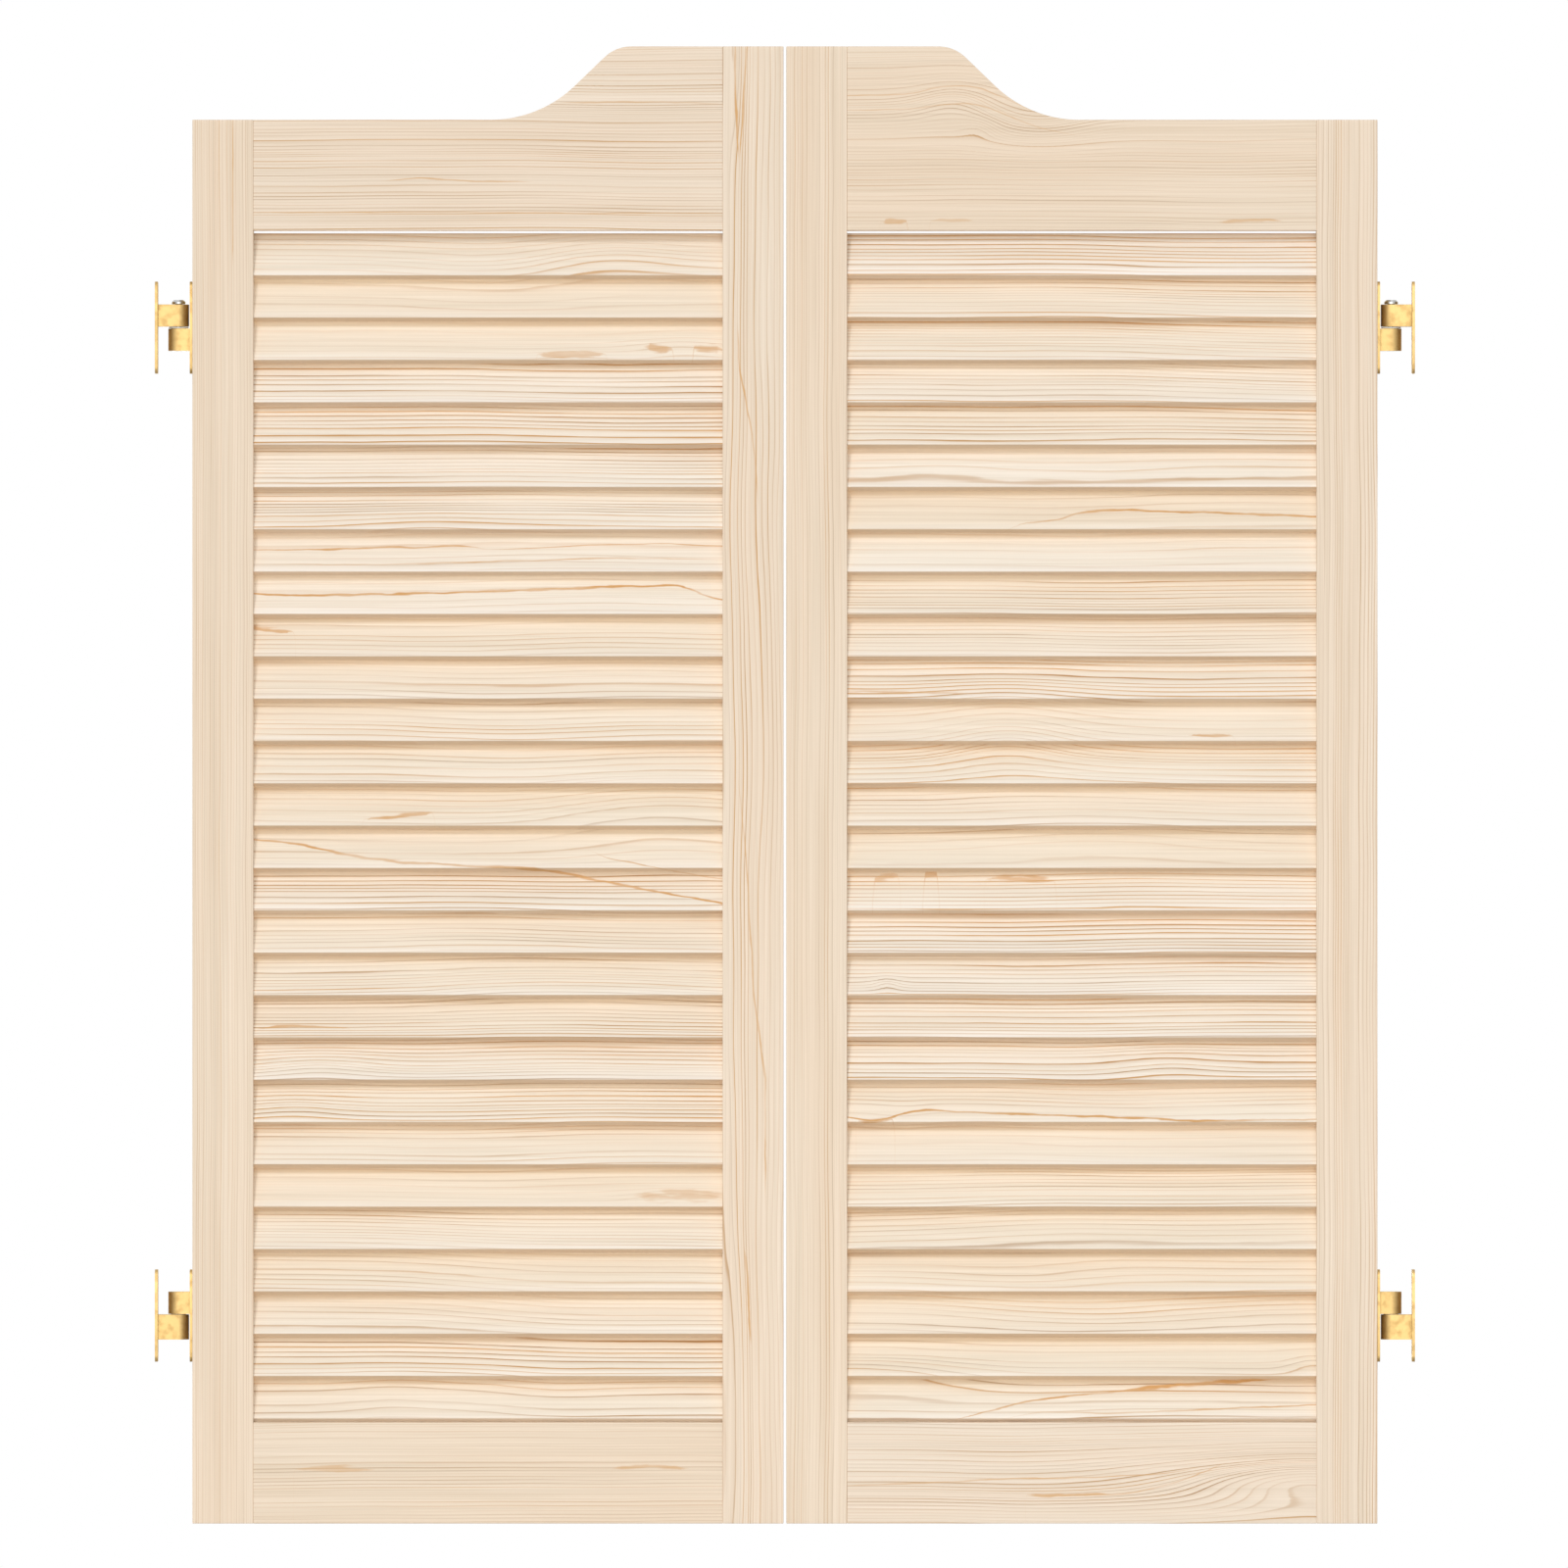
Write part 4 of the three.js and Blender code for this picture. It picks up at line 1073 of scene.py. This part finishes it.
def camera():
    """A long lens square to the doors, as far away as the picture's width asks."""
    lens = bpy.data.cameras.new("camera")
    lens.lens = LENS
    lens.sensor_width = SENSOR
    lens.clip_end = FAR_CLIP
    holder = bpy.data.objects.new("camera", lens)
    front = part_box("left_hinge_stile")[0].y
    holder.location = (PICTURE_MIDDLE_X, front - PICTURE_WIDTH * LENS / SENSOR, PICTURE_MIDDLE_Z)
    holder.rotation_euler = (math.pi / 2, 0, 0)
    bpy.context.scene.collection.objects.link(holder)
    bpy.context.scene.camera = holder


# Grain of each leaf

# Swellings: middle along and across the board, length, width and lift of the lines, added strength
# Streaks: width, depth of colour and the points of the line, along and across the board
# Their places and lengths are in mm, in the frame's own coordinates, and are given one by one
LEFT_HILLS = (
    (-129, 912, 53, 21, 8.5, 0),
    (-227, 895, 64, 25, -4, 0),
    (-154, 844, 28, 7, 3.5, 0.3),
    (-78, 851, 42, 10, 5.5, 0.2),
    (-262, 721, 50, 11, 4, 0),
    (-381, 605, 269, 35, 7, 0),
    (-93, 509, 85, 30, 15.5, 0),
    (-248, 498, 85, 21, -4, 0),
    (-142, 389, 113, 21, 5.5, 0),
    (-336, 332, 42, 11, 5, 0),
    (-354, 300, 35, 10, 3.5, 0.3),
    (-76, 236, 32, 6, 8, 0.5),
    (-381, 180, 297, 50, 15.5, 0),
    (-284, 88, 35, 21, 3.5, 0),
    (-170, 88, 42, 21, -3.5, 0),
)
RIGHT_HILLS = (
    (45, 838, 304, 50, 8.5, 0),
    (113, 760, 42, 11, 3, 0),
    (247, 760, 50, 11, -3, 0),
    (159, 569, 50, 32, 11.5, 0),
    (212, 491, 85, 14, 5.5, 0),
    (74, 390, 10, 6, 3.5, 0.3),
    (275, 332, 42, 13, 5, 0),
    (84, 295, 21, 10, -3, 0),
    (383, 216, 304, 35, 12.5, 0),
    (176, 180, 64, 18, -5.5, 0),
    (226, 148, 92, 21, -12.5, 0.2),
    (45, 108, 92, 16, 18.5, 0.4),
    (383, 116, 21, 10, 8.5, 0.3),
)
RIGHT_TOP_HILLS = (
    (123, 1029, 28, 21, 8.5, 0.3),
    (183, 1011, 42, 21, -10, 0.2),
    (140, 1007, 13, 8, 5, 0.4),
)
RIGHT_BOTTOM_HILLS = (
    (383, 33, 81, 20, 25.5, 0.25),
    (282, 39, 64, 14, 4, 0.2),
)
LEFT_MEETING_HILLS = (
    (1067, -35, 71, 6, 8.5, 0.4),
    (88, -37, 170, 12, 10, 0),
    (605, -16, 113, 10, 4, 0.2),
    (888, -18, 85, 10, -3.5, 0.2),
)
LEFT_STREAKS = (
    (2.4, 0.86, ((-432, 672.5), (-346, 670.5), (-262, 672), (-182, 674.5), (-128, 677), (-82, 678),
        (-68, 675.5), (-54, 668.5), (-35, 666), (-1, 666))),
    (5, 0.54, ((-398, 648.5), (-372, 645.5), (-354, 644))),
    (1.6, 0.66, ((-404, 703.5), (-333, 703.5), (-301, 704.5), (-286, 706), (-266, 704.5), (-240, 707),
        (-227, 705.5), (-210, 703))),
    (1.2, 0.6, ((-223, 703.5), (-183, 704.5), (-134, 707), (-88, 708), (-52, 706), (-15, 706))),
    (1.2, 0.6, ((-404, 693), (-296, 692.5), (-211, 695), (-126, 697.5), (-49, 696.5), (-15, 696.5))),
    (6.4, 0.48, ((-180, 845), (-160, 844.5), (-128, 845))),
    (7.1, 0.48, ((-102, 851), (-91, 848.5), (-80, 848))),
    (7.1, 0.48, ((-68, 851), (-59, 848.5), (-44, 847))),
    (9.2, 0.29, ((-110, 237.5), (-78, 236), (-42, 237.5))),
    (3.2, 0.6, ((-305, 508.5), (-280, 511), (-252, 513.5))),
    (2.5, 0.72, ((-432, 500), (-349, 490.5), (-313, 482), (-264, 476.5), (-210, 474.5), (-169, 471.5),
        (-128, 463), (-86, 455.5), (-43, 447.5), (6, 439))),
    (1.1, 0.54, ((-144, 489.5), (-140, 485), (-131, 481), (-114, 478), (-74, 470), (-43, 465),
        (-15, 461))),
    (2.1, 0.6, ((-384, 357), (-354, 360), (-312, 357.5))),
)
RIGHT_STREAKS = (
    (2, 0.72, ((155, 712), (165, 722), (199, 725), (212, 730.5), (234, 732.5), (300, 730.5), (385, 727.5),
        (438, 726.5))),
    (2.1, 0.6, ((21, 601), (91, 600.5), (137, 599.5))),
    (2.1, 0.6, ((291, 570), (307, 569), (325, 569))),
    (5.7, 0.48, ((62, 464.5), (72, 466.5), (83, 468))),
    (5.7, 0.46, ((98, 467.5), (106, 469), (113, 469))),
    (5, 0.48, ((144, 465), (169, 466), (198, 464.5))),
    (4.2, 0.54, ((52, 291), (67, 290), (80, 292.5))),
    (2, 0.86, ((-1, 302), (43, 294), (67, 290), (84, 295.5), (100, 299), (156, 296), (223, 294),
        (307, 290.5), (385, 292), (438, 293.5))),
    (3.3, 0.82, ((219, 93), (287, 100), (360, 104.5))),
    (1.6, 0.72, ((120, 74), (173, 88), (236, 95))),
    (1.4, 0.6, ((152, 74), (181, 80.5), (237, 79.5), (307, 82.5), (385, 85.5), (424, 87))),
)
LEFT_TOP_STREAKS = (
    (1.3, 0.6, ((-294, 969.5), (-262, 972), (-227, 969.5), (-179, 969))),
    (1, 0.6, ((-425, 947), (-269, 947), (-170, 946.5), (-1, 946.5))),
    (1.6, 0.42, ((-170, 1026), (-114, 1027), (-40, 1026))),
)
RIGHT_TOP_STREAKS = (
    (1.2, 0.48, ((21, 1031), (91, 1032.5), (113, 1038.5), (136, 1039), (162, 1028.5), (192, 1013.5))),
    (1.2, 0.42, ((21, 1020.5), (91, 1021.5), (120, 1026), (141, 1025), (183, 1008), (219, 1001))),
    (3.2, 0.48, ((311, 940), (335, 941.5), (360, 940.5))),
    (3.5, 0.54, ((69, 940), (79, 941.5), (90, 940.5))),
    (2.8, 0.46, ((104, 940.5), (120, 941.5), (137, 940.5))),
)
LEFT_BOTTOM_STREAKS = (
    (4.6, 0.48, ((-356, 39.5), (-326, 40), (-295, 38.5))),
    (4.2, 0.48, ((-126, 40), (-100, 41), (-69, 40))),
)
RIGHT_BOTTOM_STREAKS = (
    (1.3, 0.54, ((14, 26.5), (106, 29.5), (167, 32.5), (226, 33.5), (279, 36.5), (311, 43))),
    (3.3, 0.72, ((173, 21), (205, 20.5), (237, 21))),
    (1.3, 0.54, ((219, 19.5), (247, 21.5), (275, 27.5), (298, 35), (322, 45.5))),
)
LEFT_HINGE_STREAKS = (
    (1.1, 0.66, ((905, -399), (965, -399), (1022, -399))),
)
LEFT_MEETING_STREAKS = (
    (1.8, 0.72, ((982, -33.5), (1029, -35.5), (1086, -36))),
    (1.8, 0.66, ((982, -33), (1036, -29.5), (1086, -26))),
    (1.6, 0.6, ((732, -19), (774, -22), (808, -27.5), (830, -32.5), (852, -33.5), (872, -34.5))),
    (1.7, 0.72, ((223, -14), (325, -14.5), (384, -22.5), (436, -25.5), (463, -26.5), (513, -31),
        (544, -34.5))),
    (2.4, 0.6, ((127, -24.5), (173, -27), (201, -29))),
)

# Frame boards: seed, spacing of the lines in mm, their strength, how far they wander in mm
LEFT_FRAME = {
    "hinge_stile": straight_grain(11, 1.9, 0.6, 0.5, (), LEFT_HINGE_STREAKS),
    "meeting_stile": straight_grain(21, 4.0, 0.85, 1.2, LEFT_MEETING_HILLS, LEFT_MEETING_STREAKS),
    "top_rail": straight_grain(31, 2.3, 0.95, 0.7, (), LEFT_TOP_STREAKS),
    "bottom_rail": straight_grain(41, 2.4, 0.55, 0.7, (), LEFT_BOTTOM_STREAKS),
}
RIGHT_FRAME = {
    "hinge_stile": straight_grain(12, 2.0, 0.8, 0.6),
    "meeting_stile": straight_grain(22, 2.4, 0.55, 0.6),
    "top_rail": straight_grain(32, 2.5, 0.6, 0.8, RIGHT_TOP_HILLS, RIGHT_TOP_STREAKS),
    "bottom_rail": straight_grain(42, 2.6, 1.1, 0.8, RIGHT_BOTTOM_HILLS, RIGHT_BOTTOM_STREAKS),
}
FRAME_GRAINS = {"left": LEFT_FRAME, "right": RIGHT_FRAME}
SLAT_HILLS = {"left": LEFT_HILLS, "right": RIGHT_HILLS}
SLAT_STREAKS = {"left": LEFT_STREAKS, "right": RIGHT_STREAKS}


# Building

def build_leaf(hand, materials):
    """One leaf: its stiles, rails and slats, then its hinges and dowels."""
    body = hand + "_leaf"
    seed = 1 + HANDS.index(hand)
    grains = FRAME_GRAINS[hand]
    for side in ("hinge_stile", "meeting_stile"):
        stile(f"{hand}_{side}", body, materials["pine"], grains[side])
    top_rail(hand, body, materials["pine"], grains["top_rail"])
    bottom_rail(hand + "_bottom_rail", body, materials["pine"], grains["bottom_rail"])
    tones = slat_tones(hand, np.random.default_rng(seed))
    slat_grain = louvre_grain(seed, SLAT_KINDS[hand], slat_heights(hand), tones, WARM_LINED[hand],
                              SLAT_HILLS[hand], SLAT_STREAKS[hand])
    slats(hand, body, materials["slat_pine"], slat_grain)
    hinges(hand, body, materials)
    dowels(hand, materials["beech"])


def build():
    """The whole picture: the finishes, the stage and its lamps, and the two leaves."""
    groups = {"rings": growth_ring_group(), "fibre": wood_fibre_group(), "wear": handling_wear_group()}
    materials = {
        "pine": pine_material("frame_pine", groups, FRAME_FAINTEST_RING, FRAME_PINE),
        "slat_pine": pine_material("louvre_pine", groups, SLAT_FAINTEST_RING, SLAT_PINE),
        "beech": beech_material(groups),
        "brass": metal_material("satin_brass", groups, BRASS_BRIGHT, BRASS_DULL, BRASS_ROUGHNESS),
        "steel": metal_material("bright_steel", groups, STEEL_BRIGHT, STEEL_DULL, STEEL_ROUGHNESS),
        "nylon": nylon_material(),
    }
    camera()
    surroundings()
    for settings in LAMPS:
        lamp(*settings)
    floor(floor_material())
    for hand in HANDS:
        build_leaf(hand, materials)


build()
bpy.context.scene.view_settings.view_transform = "Standard"
